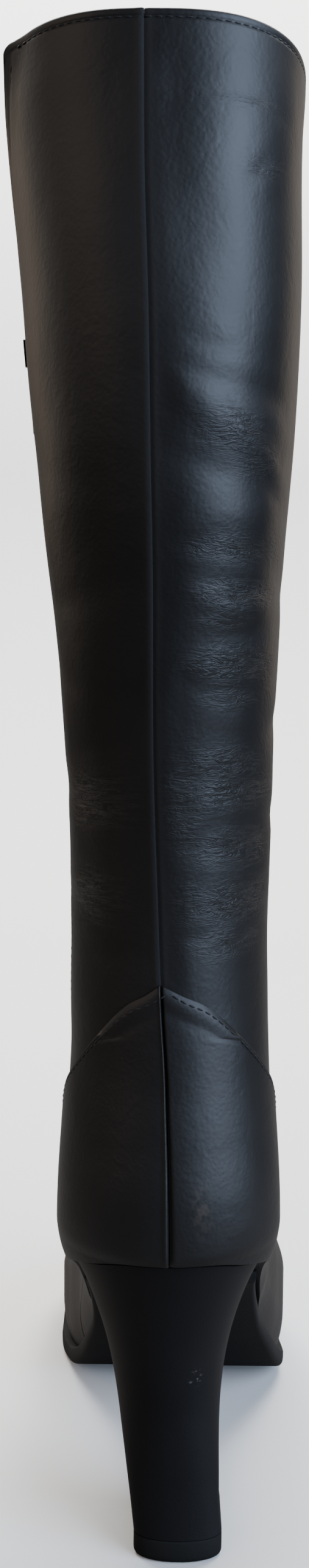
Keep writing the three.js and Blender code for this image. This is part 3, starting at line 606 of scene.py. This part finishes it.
# soft folds of the shaft: millimetres round from the back, outer side positive, then height,
# length, width, tilt and depth
folds = np.array([
    (26, 415, 13, 1.6, 4, -0.3), (40, 412, 8, 1.4, -10, -0.25), (33, 397, 7, 1.4, 38, -0.3),
    (18, 372, 30, 9, -60, -0.35), (16, 350, 9, 2.6, -14, -0.7), (22, 345, 16, 4.5, -20, 0.35),
    (28, 341, 22, 3.6, -8, -1), (33, 336, 20, 4.5, -24, 0.45), (24, 328, 24, 5.5, -32, 1.1),
    (34, 319, 17, 3.6, -26, -0.9), (17, 319, 12, 3.4, -10, -0.4), (30, 308, 18, 4.5, 6, 0.4),
    (26, 298, 13, 2, 4, -0.35), (28, 289, 14, 2.2, -4, -0.5), (28, 283, 13, 2.8, -3, 0.75),
    (27, 276, 14, 2.4, 6, -0.5), (31, 268, 11, 2, -12, -0.4), (25, 259, 10, 1.8, 6, -0.3),
    (30, 251, 12, 2.6, -6, 0.25), (28, 240, 12, 2, 8, -0.35), (29, 232, 15, 1.8, -4, -0.45),
    (24, 226, 12, 2.4, 3, 0.25), (30, 216, 13, 2, 10, -0.4), (24, 208, 12, 2.4, -6, 0.2),
    (33, 201, 15, 1.8, 6, -0.45), (24, 196, 12, 2.2, -4, -0.3), (28, 187, 14, 2, 3, -0.35),
    (9, 236, 7, 1.8, 4, -0.25), (8, 226, 6, 1.6, -4, -0.25), (9, 216, 7, 1.8, 5, -0.25),
    (10, 300, 9, 2.2, 10, -0.25), (12, 262, 8, 2, -8, -0.25), (12, 190, 8, 2, 8, -0.3),
    (-57, 356, 16, 30, 0, 0.8), (-52, 240, 20, 36, 0, 0.8), (52, 232, 20, 40, 0, 0.7),
    (-30, 318, 22, 6, -12, -0.3), (-24, 286, 20, 4, 8, -0.25), (-34, 262, 18, 4, -10, -0.3),
    (-22, 244, 20, 3.4, 6, -0.25), (-32, 226, 20, 3.4, -4, -0.3), (-24, 208, 18, 3, 8, -0.25),
    (-33, 195, 18, 3.2, -6, -0.3), (-20, 184, 14, 2.6, 3, -0.25), (58, 290, 20, 5, -10, -0.5),
    (55, 250, 20, 4, 10, -0.5), (60, 222, 20, 4, -8, -0.5), (-62, 230, 20, 5, 10, -0.5),
    (100, 205, 28, 6, 0, -0.8), (112, 188, 30, 6, -6, -0.9), (-104, 196, 28, 6, 4, -0.8),
    (120, 172, 26, 5, 8, -0.7), (-118, 176, 26, 5, -6, -0.7),
])

# places where the grain is crinkled: around, height, reach around, reach up, strength
crinkles = np.array([
    (30, 412, 14, 2, 0.25), (33, 397, 8, 3, 0.3), (25, 330, 11, 6, 0.55), (33, 322, 10, 5, 0.4),
    (24, 299, 12, 3.2, 0.8), (28, 287, 14, 3, 1), (22, 280, 9, 2.4, 0.5), (27, 268, 14, 4, 1),
    (26, 258, 9, 2.2, 0.8), (24, 240, 12, 4, 0.8), (26, 231, 15, 4, 1), (27, 215, 14, 5, 0.9),
    (27, 199, 16, 5, 1), (24, 187, 14, 4, 0.6), (8, 228, 6, 14, 0.45), (8, 200, 5, 8, 0.3),
    (44, 300, 9, 4, 0.3), (44, 232, 9, 5, 0.3), (-24, 228, 18, 9, 0.35), (-26, 200, 16, 8, 0.35),
    (104, 200, 26, 9, 0.5), (-104, 196, 26, 9, 0.5),
])


# sum of bent bells: depth · exp(-(u / length)²) · exp(-((v - 0.004 u²) / width)²), u along the fold
def foldDepth(around, z):
    total = np.zeros(np.shape(z))
    for a, h, length, width, tilt, depth in folds:
        t = radians(tilt)
        u = (around - a) * cos(t) + (z - h) * sin(t)
        v = -(around - a) * sin(t) + (z - h) * cos(t) - 0.004 * u * u
        total += depth * np.exp(-(u / length) ** 2 - (v / width) ** 2)
    return total


# largest of strength · exp(-(du / reach)² - (dz / reach up)²)
def crinkleMask(around, z):
    total = np.zeros(np.shape(z))
    for a, h, wide, high, strength in crinkles:
        near = np.exp(-((around - a) / wide) ** 2 - ((z - h) / high) ** 2)
        total = np.maximum(total, strength * near)
    return total


# long slow waves of the leather: two products of sines, added
def slack(around, z):
    return (0.35 * np.sin(z / 23 + around / 31) * np.sin(around / 19 + 0.6)
            + 0.22 * np.sin(z / 11 - around / 13 + 1.2) * np.sin(z / 37))


# distances from an edge, in millimetres, at which the grids are close
edgeSteps = np.array([0, 0.3, 0.6, 0.9, 1.2, 1.5, 1.8, 2.1, 2.4, 2.8, 3.4, 4.2, 5.2])
collarSteps = np.array([7, 6, 5, 4.2, 3.6, 3.1, 2.7, 2.4, 2.1, 1.8, 1.5, 1.2, 0.9, 0.6, 0.3, 0])


# shares from 0 to 1, close together at both ends
def denseEnds(length, count):
    inside = np.linspace(edgeSteps[-1], length - edgeSteps[-1], count)[1:-1]
    return np.concatenate([edgeSteps, inside, (length - edgeSteps)[::-1]]) / length


# climbs from the underside to the collar, close together below the collar
def panelClimbs():
    lower = np.linspace(0, 1, seams["rows"])
    top = 1 - collarSteps / seams["climbLength"]
    return np.concatenate([lower[lower < 1 - 9 / seams["climbLength"]], top])


def rounding(distance, reach):  # (1 - distance / reach)², 0 beyond the reach
    return np.clip(1 - distance / reach, 0, 1) ** 2


# bend of the loose rear corner: flare · (1 - distance from the free edge / reach)² · rise
def flareOut(away, z):
    rise = np.clip((z - seams["flareFrom"]) / (bootHeight - seams["flareFrom"]), 0, 1)
    near = rounding(away, seams["flareReach"])
    return seams["flare"] * near * (0.6 * rise + 0.4 * rise ** 2)


# height of a ridge or depth of a groove beside a line: exp(-((distance - place) / width)²)
def bell(distance, place, width):
    return np.exp(-((distance - place) / width) ** 2)


# distance run along each row from its first column
def rowRun(points):
    step = np.linalg.norm(np.diff(points, axis=-2), axis=-1)
    return np.insert(np.cumsum(step, axis=-1), 0, 0, axis=-1)


# one leather panel between two lines: folds, slack, stitched margins, seam lip or groove and eased
# edges; side -1 runs from the zip to the back seam, side 1 from the back seam to the zip
def makePanel(name, fromLine, toLine, width, columns, side):
    climb = panelClimbs()[:, None]
    share = denseEnds(width, columns)[None, :]
    turn = fromLine(climb) * (1 - share) + toLine(climb) * share
    climb = np.broadcast_to(climb, turn.shape)
    run = rowRun(upperPoint(climb, turn))
    back = run[:, -1:] - run
    zipAway, seamAway = (run, back) if side < 0 else (back, run)
    inside = np.clip(seams["cornerRound"] - zipAway, 0, seams["cornerRound"])
    drop = seams["cornerRound"] - np.sqrt(seams["cornerRound"] ** 2 - inside ** 2)
    climb = climb * (1 - smooth(seams["cornerFrom"], 1, climb) * drop / seams["climbLength"])
    z = upperPoint(climb, turn)[..., 2]
    around = -seamAway if side < 0 else seamAway
    fade = (smooth(*seams["foldsFrom"], z) * (1 - smooth(*seams["foldsUpTo"], z))
            * smooth(*seams["foldsFromSeam"], seamAway))
    out = (foldDepth(around, z) + slack(around, z) * smooth(*seams["slackFrom"], z)) * fade
    zipOn = smooth(seams["slitFoot"] - 8, seams["slitFoot"] + 2, z)
    fromTop = (1 - climb) * seams["climbLength"] - drop
    margin = np.minimum(
        fromTop, zipAway * seams["edgeBand"] / seams["zipBand"] + 20 * (1 - zipOn))
    out = out - seams["edgeDip"] * bell(margin, seams["edgeBand"], 0.4)
    out -= seams["edgeEase"] * (1 - np.sqrt(1 - np.clip(1 - margin, 0, 1) ** 2))
    if side < 0:
        out += seams["backLift"] * bell(seamAway, 1.0, seams["backLip"] / 2)
        out -= seams["seamDrop"] * rounding(seamAway, 0.4)
        out += flareOut(zipAway, z)
    else:
        out -= seams["backGroove"] * bell(seamAway, 0, 0.8)
    inward = np.where(out > 1, out, out * 0.8) - seams["leather"]
    part = shellPart(upperOffset(climb, turn, out), upperOffset(climb, turn, inward))
    mask = np.concatenate([crinkleMask(around, z).ravel(), np.zeros(z.size)])
    dull = np.concatenate([bell(seamAway, 0, 1.4).ravel(), np.zeros(z.size)])
    piece = meshFrom(name, part, leather, {"crinkle": mask, "dull": dull}, sharp=60)
    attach(piece, "boot")
    return piece


# the upper's edge at the zip, rear side -1 or front side 1, or a line further back from the zip
def zipEdge(climb, hand, back=0.0):
    line = zipLine(climb, lambda z: slitEdge(z, hand) + hand * back)
    return line if hand < 0 else line + 2 * pi


gapHalf = seams["backGap"] / 2
makePanel("upper_inner_panel", lambda climb: zipEdge(climb, -1),
          lambda climb: seamTurn(climb, -gapHalf), 64.0, 66, -1)
mainPanel = makePanel("upper_main_panel", lambda climb: seamTurn(climb, gapHalf),
                      lambda climb: zipEdge(climb, 1), 250.0, 176, 1)
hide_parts("upper")
print("stage: upper made")

lining = {
    "rows": (0.004, 0.9985, 110),  # climb at the foot and the top, and how many
    "columns": 130,
    "edgeBack": 0.3,
    "outer": 1.6,          # depths under the leather's face
    "inner": 2.0,
}


# lining: a thin shell inside the leather, from the insole to just under the collar
def makeLining():
    climb = np.linspace(*lining["rows"])[:, None]
    start, end = (zipEdge(climb, hand, lining["edgeBack"]) for hand in (-1, 1))
    share = np.linspace(0, 1, lining["columns"])[None, :]
    turn = start * (1 - share) + end * share
    climb = np.broadcast_to(climb, turn.shape)
    points = upperPoint(climb, turn)
    bend = flareOut(rowRun(points), points[..., 2])
    part = shellPart(upperOffset(climb, turn, bend - lining["outer"]),
                     upperOffset(climb, turn, bend - lining["inner"]))
    piece = meshFrom("lining", part, liningLeather)
    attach(piece, "boot")


makeLining()

# heel counter: two halves that meet at the back seam, thinner towards their front ends

counter = {
    "height": 80.0,
    "foot": 0.8,
    "under": 0.15,
    "thickness": 1.35,
    "reach": 0.4167,       # end of each half, as a share of the half turn
    "gap": 0.12,
    "skive": 9.0,          # length over which the ends get thinner, to a share of the whole
    "skivedTo": 0.3,
    "length": 120.0,
    "tall": 90.0,
    "edgeDrop": 0.75,      # rounding of the top edge and of the edges at the seam
    "seamDrop": 0.7,
    "lip": 0.35,
    "groove": 0.8,
    "stitchInset": 1.9,
    "stitchDip": 0.22,
}
counterRows = np.array([
    (0, 1), (0.05, 0.96), (0.1, 0.927), (0.15, 0.874), (0.2, 0.808), (0.25, 0.733), (0.3, 0.646),
    (0.34, 0.565), (0.375, 0.37), (0.4, 0), (0.42, -0.41),
])
counterEdge, = curvesOf(counterRows)


# climb of the counter's top edge, or of a line further down
def counterTop(turn, down=0.0):
    top = seatHeight + counter["height"] * counterEdge(np.abs(turn) / pi)
    return climbToHeight(turn, top - down)


def makeCounter():
    parts = []
    foot = climbToHeight(0.0, seatHeight + counter["foot"])
    for side in (-1, 1):
        share = denseEnds(counter["length"], 66)[None, :]
        turn = side * counter["reach"] * pi * share
        up = denseEnds(counter["tall"], 56)[:, None]
        top = counterTop(turn)
        climb = foot + (top - foot) * up
        turn = turn + seamTurn(climb, side * counter["gap"]) * (1 - share) ** 3
        climb, turn = np.broadcast_arrays(climb, turn)
        tall = np.abs(upperPoint(top, turn)[..., 2] - upperPoint(foot, turn)[..., 2])
        fromTop = (1 - up) * tall
        fromSeam = share * counter["length"] + 0 * up
        fromEnd = (1 - share) * counter["length"]
        skived = counter["skivedTo"] + (1 - counter["skivedTo"]) * smooth(
            0, counter["skive"], fromEnd)
        out = counter["under"] + counter["thickness"] * skived + 0 * fromTop
        out -= counter["edgeDrop"] * skived * rounding(fromTop, 0.9)
        if side < 0:
            out += counter["lip"] * bell(fromSeam, 1.1, 1.1)
            out -= counter["seamDrop"] * rounding(fromSeam, 0.7)
        else:
            out -= counter["groove"] * bell(fromSeam, 0, 1.0)
        out -= counter["stitchDip"] * skived * bell(fromTop, counter["stitchInset"], 0.5)
        parts.append(shellPart(upperOffset(climb, turn, out),
                               upperOffset(climb, turn, counter["under"])))
    piece = meshFrom("heel_counter_leather", joinParts(parts), counterLeather, sharp=60)
    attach(piece, "boot")
    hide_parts("heel_counter")


makeCounter()
print("stage: counter made")

stitch = {
    "pitch": 2.6,
    "length": 1.9,
    "thick": 0.5,
    "counterThick": 0.55,
    "sink": 0.22,          # how deep a bead's middle lies under the leather's face
    "counterSink": 0.12,
}


# beads at points with a direction and an outward normal: ellipsoids of 5 rings by 8 sides
def beadParts(centres, along, out, length, thick):
    rings = np.linspace(0, pi, 7)[1:-1, None]
    sides = np.linspace(0, 2 * pi, 8, endpoint=False)[None, :]
    across = np.cross(along, out)
    ring = np.stack([np.cos(rings) + 0 * sides, np.sin(rings) * np.cos(sides),
                     np.sin(rings) * np.sin(sides)], -1).reshape(-1, 3)
    poles = np.array([[1.0, 0, 0], [-1.0, 0, 0]])
    unit = np.concatenate([ring, poles]) * [length / 2, thick / 2, thick / 2]
    points = centres[:, None] + sum(
        unit[None, :, k:k + 1] * axis[:, None] for k, axis in enumerate((along, across, out)))
    count = len(unit)
    quads = gridQuads(len(rings), 8, True)
    span = np.arange(8)
    after = (span + 1) % 8
    end = (len(rings) - 1) * 8
    caps = np.concatenate([np.stack([after, span, np.full(8, count - 2)], -1),
                           np.stack([end + span, end + after, np.full(8, count - 1)], -1)])
    start = (np.arange(len(centres)) * count)[:, None, None]
    return turnedOut((points.reshape(-1, 3), (quads + start).reshape(-1, 4),
                      (caps + start).reshape(-1, 3)))


# even places along a line on the skin, with the line's direction and the skin's normal
def alongLine(climb, turn, pitch, lift):
    line = upperPoint(climb, turn)
    run = rowRun(line)
    at = np.arange(pitch / 2, run[-1], pitch)
    c, t = np.interp(at, run, climb), np.interp(at, run, turn)
    centre = upperOffset(c, t, np.full(c.shape, lift))
    ahead = np.stack([np.interp(at + 0.5, run, line[:, k]) - np.interp(at - 0.5, run, line[:, k])
                      for k in range(3)], -1)
    return centre, unitRows(ahead), upperNormal(c, t)


def makeStitches():
    parts = []

    def addRow(centre, ahead, out, thick=stitch["thick"]):
        parts.append(beadParts(centre, ahead, out, stitch["length"], thick))

    for side in (-1, 1):
        turn = np.linspace(0.02, 0.4 * pi, 200) * side
        lift = counter["under"] + counter["thickness"] - stitch["counterSink"]
        climb = counterTop(turn, counter["stitchInset"] * 1.15)
        addRow(*alongLine(climb, turn, stitch["pitch"], lift), stitch["counterThick"])
    collarClimb = 1 - seams["edgeBand"] / seams["climbLength"]
    inset = seams["zipBand"] + 2.4
    turn = np.linspace(*(zipEdge(np.array(collarClimb), hand, inset) for hand in (-1, 1)), 700)
    climb = np.full(turn.shape, collarClimb)
    centre, ahead, out = alongLine(climb, turn, stitch["pitch"], -stitch["sink"])
    fromFree = np.arange(len(centre)) * stitch["pitch"] + inset
    addRow(centre + out * flareOut(fromFree, centre[:, 2])[:, None], ahead, out)
    for hand in (-1, 1):
        low = climbToHeight(zipTurn(130.0, 0.0), seams["slitFoot"] + 1)
        climb = np.linspace(low, collarClimb - 2.4 / seams["climbLength"], 500)
        turn = zipEdge(climb, hand, seams["zipBand"])
        centre, ahead, out = alongLine(climb, turn, stitch["pitch"], -stitch["sink"])
        bend = flareOut(seams["zipBand"], centre[:, 2]) * (hand < 0)
        addRow(centre + out * bend[:, None], ahead, out)
    piece = meshFrom("stitches", joinParts(parts), threadBlack)
    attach(piece, "boot")


makeStitches()
print("stage: stitches made")

# sole, insole and heel

sole = {
    "thickness": 6.7,
    "waist": 3.4,
    "overhang": 2.8,
    "breast": 54.0,
    "gap": 0.3,
    "insole": 2.4,
}
soleEdgeRows = np.array([
    (0, 0.9), (0.03, 0.45), (0.08, 0.12), (0.16, 0), (0.5, 0.05), (0.7, 0.2), (0.82, 0.45),
    (0.91, 0.9), (0.97, 1.5), (1, 2.3),
])
insoleEdgeRows = np.array([(0, 2.6), (0.8, 2.5), (0.95, 2.7), (1, 3.3)])


# underside outline moved out: from the toe by the inner side to a turn, then back by the outer
# side; a turn of 0 is met once only
def featherOutline(fromTurn, distance, height, count=90):
    turn = np.linspace(pi, fromTurn, count)
    signed = np.concatenate([-turn, turn[1:count if fromTurn > 0 else -1][::-1]])
    point = upperPoint(0.0, signed)
    normal = upperNormal(0.0, signed)
    reach = distance(np.abs(signed))
    moved = point + normal * reach[:, None]
    moved[:, 2] = height(moved[:, 1] - last["counterBack"])
    return moved


def soleRim(along):  # 0 at the heel's breast, 1 where the forefoot's rim is whole
    return smooth(sole["breast"], last["length"] * 0.56, along)


def soleThickness(along):  # waist, and the rest of the thickness with the rim
    return sole["waist"] + (sole["thickness"] - sole["waist"]) * soleRim(along)


def makeOutsole():
    seatBack = backLine(seatHeight)
    reach = frontLine(toeHeight) - seatBack
    breastTurn = np.arccos(1 - 2 * (sole["breast"] + sole["gap"] - seatBack) / reach)
    loops = []
    for down, inset in soleEdgeRows:
        def distance(turn):
            along = upperPoint(0.0, turn)[:, 1] - last["counterBack"]
            thickness = soleThickness(along) / sole["thickness"]
            return sole["overhang"] * soleRim(along) - inset * thickness
        loops.append(featherOutline(
            breastTurn, distance,
            lambda along: featherHeight(along) - sole["gap"] - soleThickness(along) * down))
    piece = meshFrom("outsole_unit", loftPart(loops), soleRubber, sharp=50)
    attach(piece, "boot")
    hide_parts("outsole")


def makeInsole():
    loops = []
    for rise, inset in insoleEdgeRows:
        loops.append(featherOutline(
            0, lambda turn: np.full(turn.shape, -inset),
            lambda along: featherHeight(along) + sole["insole"] * rise))
    piece = meshFrom("insole_sock", loftPart(loops), liningLeather, sharp=50)
    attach(piece, "boot")
    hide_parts("insole")


heel = {
    "seatWidth": 55.0,
    "topWidth": 26.6,
    "topDepth": 28.0,
    "topHeight": 7.0,
    "undercut": 12.0,
    "seatInset": 0.6,
    "rearRound": 0.24,     # shares of the depth that the corners take at the foot
    "frontRound": 0.14,
    "seatRound": 0.38,     # and what the rear corners gain towards the seat
    "rows": 60,
}
# heel: rise, back, depth, flare, drift
heelRows = np.array([
    (0, 1, 0, 0, 0), (0.06, 1.0375, 0, 0, 0.16), (0.22, 1.1, 0.04, 0.05, 0.45),
    (0.42, 1.1, 0.15, 0.14, 0.75), (0.57, 1, 0.27, 0.25, 0.88), (0.72, 0.775, 0.42, 0.42, 0.96),
    (0.84, 0.45, 0.62, 0.62, 1), (0.93, 0.1875, 0.8, 0.81, 1), (1, 0, 1, 1, 1),
])
heelBack, heelDepth, heelFlare, heelDrift = curvesOf(heelRows)
topPieceRows = (
    (0, 1.6), (0.2, 0.9), (0.6, 0.35), (1.3, 0.05), (2, 0), (6.4, 0), (6.8, 0.15), (7, 0.5))


# D-shaped loop: half width times rear and front fullness, height from the place along
def heelLoop(back, front, half, middle, height, rear=heel["rearRound"], count=112):
    turn = -pi + 2 * pi * np.arange(count) / count
    depth = front - back
    along = back + depth * (1 - np.cos(turn)) / 2
    width = (half * fullness(along - back, depth * rear, 2.15)
             * fullness(front - along, depth * heel["frontRound"], 2))
    x = middle + np.where(turn < 0, -width, width)
    return np.stack([x, last["counterBack"] + along, height(along)], -1)


def makeHeel():
    foot = heel["topHeight"] + sole["gap"]
    seatBack = backLine(seatHeight) + heel["seatInset"]
    loops = []
    for rise in np.linspace(0, 1, heel["rows"]):
        back = seatBack + (heel["undercut"] - seatBack) * heelBack(rise)
        depth = heel["topDepth"] + (sole["breast"] - seatBack - heel["topDepth"]) * heelDepth(rise)
        half = (heel["topWidth"] + (heel["seatWidth"] - heel["topWidth"]) * heelFlare(rise)) / 2
        loops.append(heelLoop(
            back, back + depth, half, last["footLean"] * heelDrift(rise),
            lambda along: foot + (featherHeight(along) - sole["gap"] - foot) * rise,
            heel["rearRound"] + heel["seatRound"] * smooth(0.05, 0.7, rise)))
    piece = meshFrom("heel_covered", loftPart(loops), heelCover, sharp=50)
    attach(piece, "boot")
    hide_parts("heel")


def makeTopPiece():
    back, half = heel["undercut"], heel["topWidth"] / 2
    front = back + heel["topDepth"]
    loops = [heelLoop(back + ease, front - ease, half - ease, 0.0,
                      lambda along: np.full(along.shape, float(z))) for z, ease in topPieceRows]
    piece = meshFrom("heel_top_piece", loftPart(loops), topRubber, sharp=40)
    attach(piece, "boot")
    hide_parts("top_piece")


makeOutsole()
makeInsole()
makeHeel()
makeTopPiece()
print("stage: sole and heel made")

# zip: tape, coil, slider and pull

zips = {
    "tape": 22.0,
    "tapeOuter": 2.6,      # depths under the leather's face
    "tapeInner": 3.3,
    "coilPitch": 2.0,
    "coilWidth": 2.5,
    "coilThick": 1.1,
    "coilDepth": 2.3,
}


# half of the zip: a woven tape behind the slit's edge and a row of coils along its inner side
def makeZipHalf(hand):
    low, middle = seams["slitFoot"], seams["sliderHeight"]
    heights = np.concatenate([np.linspace(low - 7, middle, 150),
                              np.linspace(middle, bootHeight - 2.2, 60)[1:]])[:, None]
    edge = slitEdge(heights, hand)
    inner = edge - hand * (seams["slitWidth"] / 2 - 0.1)
    outer = edge + hand * (zips["tape"] - seams["slitWidth"]) / 2
    share = np.linspace(0, 1, 15)[None, :]
    turn = zipTurn(heights, inner * (1 - share) + outer * share)
    heights = np.broadcast_to(heights, turn.shape)
    climb = climbToHeight(turn, heights)
    bend = flareOut(0.0, heights) * (hand < 0)
    tape = shellPart(upperOffset(climb, turn, bend - zips["tapeOuter"]),
                     upperOffset(climb, turn, bend - zips["tapeInner"]))
    z = np.linspace(low + 2, bootHeight - 4, 700)
    turn = zipTurn(z, slitEdge(z, hand) - hand * (seams["slitWidth"] / 2 - 1.2))
    centre, ahead, out = alongLine(
        climbToHeight(turn, z), turn, zips["coilPitch"], -zips["coilDepth"])
    centre = centre + ahead * (hand * zips["coilPitch"] / 4)
    centre = centre + out * flareOut(0.0, centre[:, 2:]) * (hand < 0)
    coils = beadParts(
        centre, np.cross(ahead, out), out, zips["coilWidth"], zips["coilThick"])
    name = "zip_rear" if hand < 0 else "zip_front"
    piece = meshFrom(name + "_tape_and_coil", joinParts([tape, coils]), threadBlack)
    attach(piece, "boot")
    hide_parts(name)


makeZipHalf(-1)
makeZipHalf(1)
for nodeName in ("zip_slider", "zip_pull"):
    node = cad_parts[nodeName]
    node.data.materials.clear()
    node.data.materials.append(zipMetal)
print("stage: zip made")

# floor, light and camera

stage = {
    "floorColor": (0.80, 0.79, 0.77, 1),
    "mirroredColor": (0.16, 0.15, 0.14, 1),
    "roughness": 0.9,
    "near": -320.0,
    "bendFrom": 900.0,
    "bendRadius": 500.0,
    "top": 2600.0,
    "halfWidth": 520.0,
    "skyColor": (0.9, 0.92, 0.95, 1),
    "skySeen": 0.72,       # what the camera sees beyond the dim light of the sky
    "skyDim": 0.03,
}


# floor that sweeps up into a wall: straight, quarter round, straight; pale to the camera, dimmer
# where the leather mirrors it
def makeStage():
    material, tree, shader = newMaterial("paleFloor")
    seen = addNode(tree, "LightPath", {})["Is Camera Ray"]
    feed(tree, shader, {
        "Base Color": addMix(tree, seen, stage["mirroredColor"], stage["floorColor"]),
        "Roughness": stage["roughness"]})
    bend = np.linspace(0, pi / 2, 24)
    radius, bendFrom = stage["bendRadius"], stage["bendFrom"]
    run = np.concatenate([[stage["near"]], bendFrom + radius * np.sin(bend), [bendFrom + radius]])
    rise = np.concatenate([[0.0], radius * (1 - np.cos(bend)), [stage["top"]]])
    across = np.array([-1, 1])[None, :] * stage["halfWidth"]
    points = np.stack(np.broadcast_arrays(across, run[:, None], rise[:, None]), -1)
    floor = meshFrom("floor", (points.reshape(-1, 3), gridQuads(len(run), 2), noTriangles),
                     material, sharp=180)


# rectangular light that looks from a place at a target
def areaLight(name, place, target, size, power, color, sizeY=None, spread=180):
    light = bpy.data.lights.new(name, "AREA")
    light.shape = "RECTANGLE"
    light.size = size
    light.size_y = sizeY or size
    light.energy = power
    light.spread = radians(spread)
    light.color = color
    lamp = addObject(name, light)
    lamp.location = place
    lamp.rotation_euler = (Vector(target) - Vector(place)).to_track_quat("-Z", "Y").to_euler()


view = {
    "place": (-0.0046, -0.426, 0.2686),
    "pitch": 4.86,
    "yaw": -0.54,
    "roll": 0.4,
    "sensor": 36.0,
    "focalPixels": 2387.0,
    "framePixels": 2576.0,
}


# camera axes: forward from yaw and pitch, right and up turned by the roll
def makeCamera():
    pitch, yaw, roll = (radians(view[k]) for k in ("pitch", "yaw", "roll"))
    forward = Vector((sin(yaw) * cos(pitch), cos(yaw) * cos(pitch), -sin(pitch)))
    right = forward.cross(Vector((0, 0, 1))).normalized()
    top = right.cross(forward)
    right, top = right * cos(roll) + top * sin(roll), top * cos(roll) - right * sin(roll)
    data = bpy.data.cameras.new("camera")
    data.sensor_width = view["sensor"]
    data.lens = view["sensor"] * view["focalPixels"] / view["framePixels"]
    data.clip_start = 0.01
    camera = addObject("camera", data)
    rows = zip(right, top, -forward, view["place"])
    camera.matrix_world = Matrix((*rows, (0, 0, 0, 1)))
    bpy.context.scene.camera = camera


# sky pale to the camera, dim to the leather
def makeWorld():
    world = bpy.data.worlds.new("studio")
    world.use_nodes = True
    tree = world.node_tree
    seen = addNode(tree, "LightPath", {})["Is Camera Ray"]
    strength = addMath(tree, "MULTIPLY_ADD", seen, stage["skySeen"], stage["skyDim"])
    feed(tree, tree.nodes["Background"], {"Color": stage["skyColor"], "Strength": strength})
    bpy.context.scene.world = world


makeStage()
makeWorld()
makeCamera()
areaLight("window", (1.03, -0.68, 0.74), (0, 0, 0.42), 1.15, 16.5, (0.62, 0.76, 1), 1.25, 95)
areaLight("room", (-1, -0.75, 0.88), (0, 0, 0.42), 1.4, 2.1, (1, 0.84, 0.72), 1, 95)
areaLight("lamp", (-0.8, 0.8, 0.62), (-0.03, 0, 0.36), 0.3, 1.1, (1, 0.8, 0.62), 0.7)
areaLight("side", (-1.5, 0.35, 0.75), (-0.03, 0.05, 0.25), 1.2, 2.7, (1, 0.92, 0.85), 1)
areaLight("front", (0.1, 1.2, 1.45), (0, 0.1, 0.15), 0.7, 8, (1, 0.97, 0.93), 0.5)
areaLight("rim", (0.66, 0.98, 0.55), (0.03, 0, 0.34), 0.25, 1.2, (1, 0.84, 0.68), 0.8)
areaLight("wallLeft", (-0.55, 0.7, 1.5), (-0.1, 1.4, 0.4), 0.7, 34, (1, 1, 1), 0.7)
areaLight("wallRight", (0.55, 0.7, 1.5), (0.1, 1.4, 0.4), 0.7, 34, (1, 1, 1), 0.7)
areaLight("top", (0, 0.6, 1.7), (0, 0.5, 0), 1, 14, (1, 1, 1))
print("stage: light and camera made")
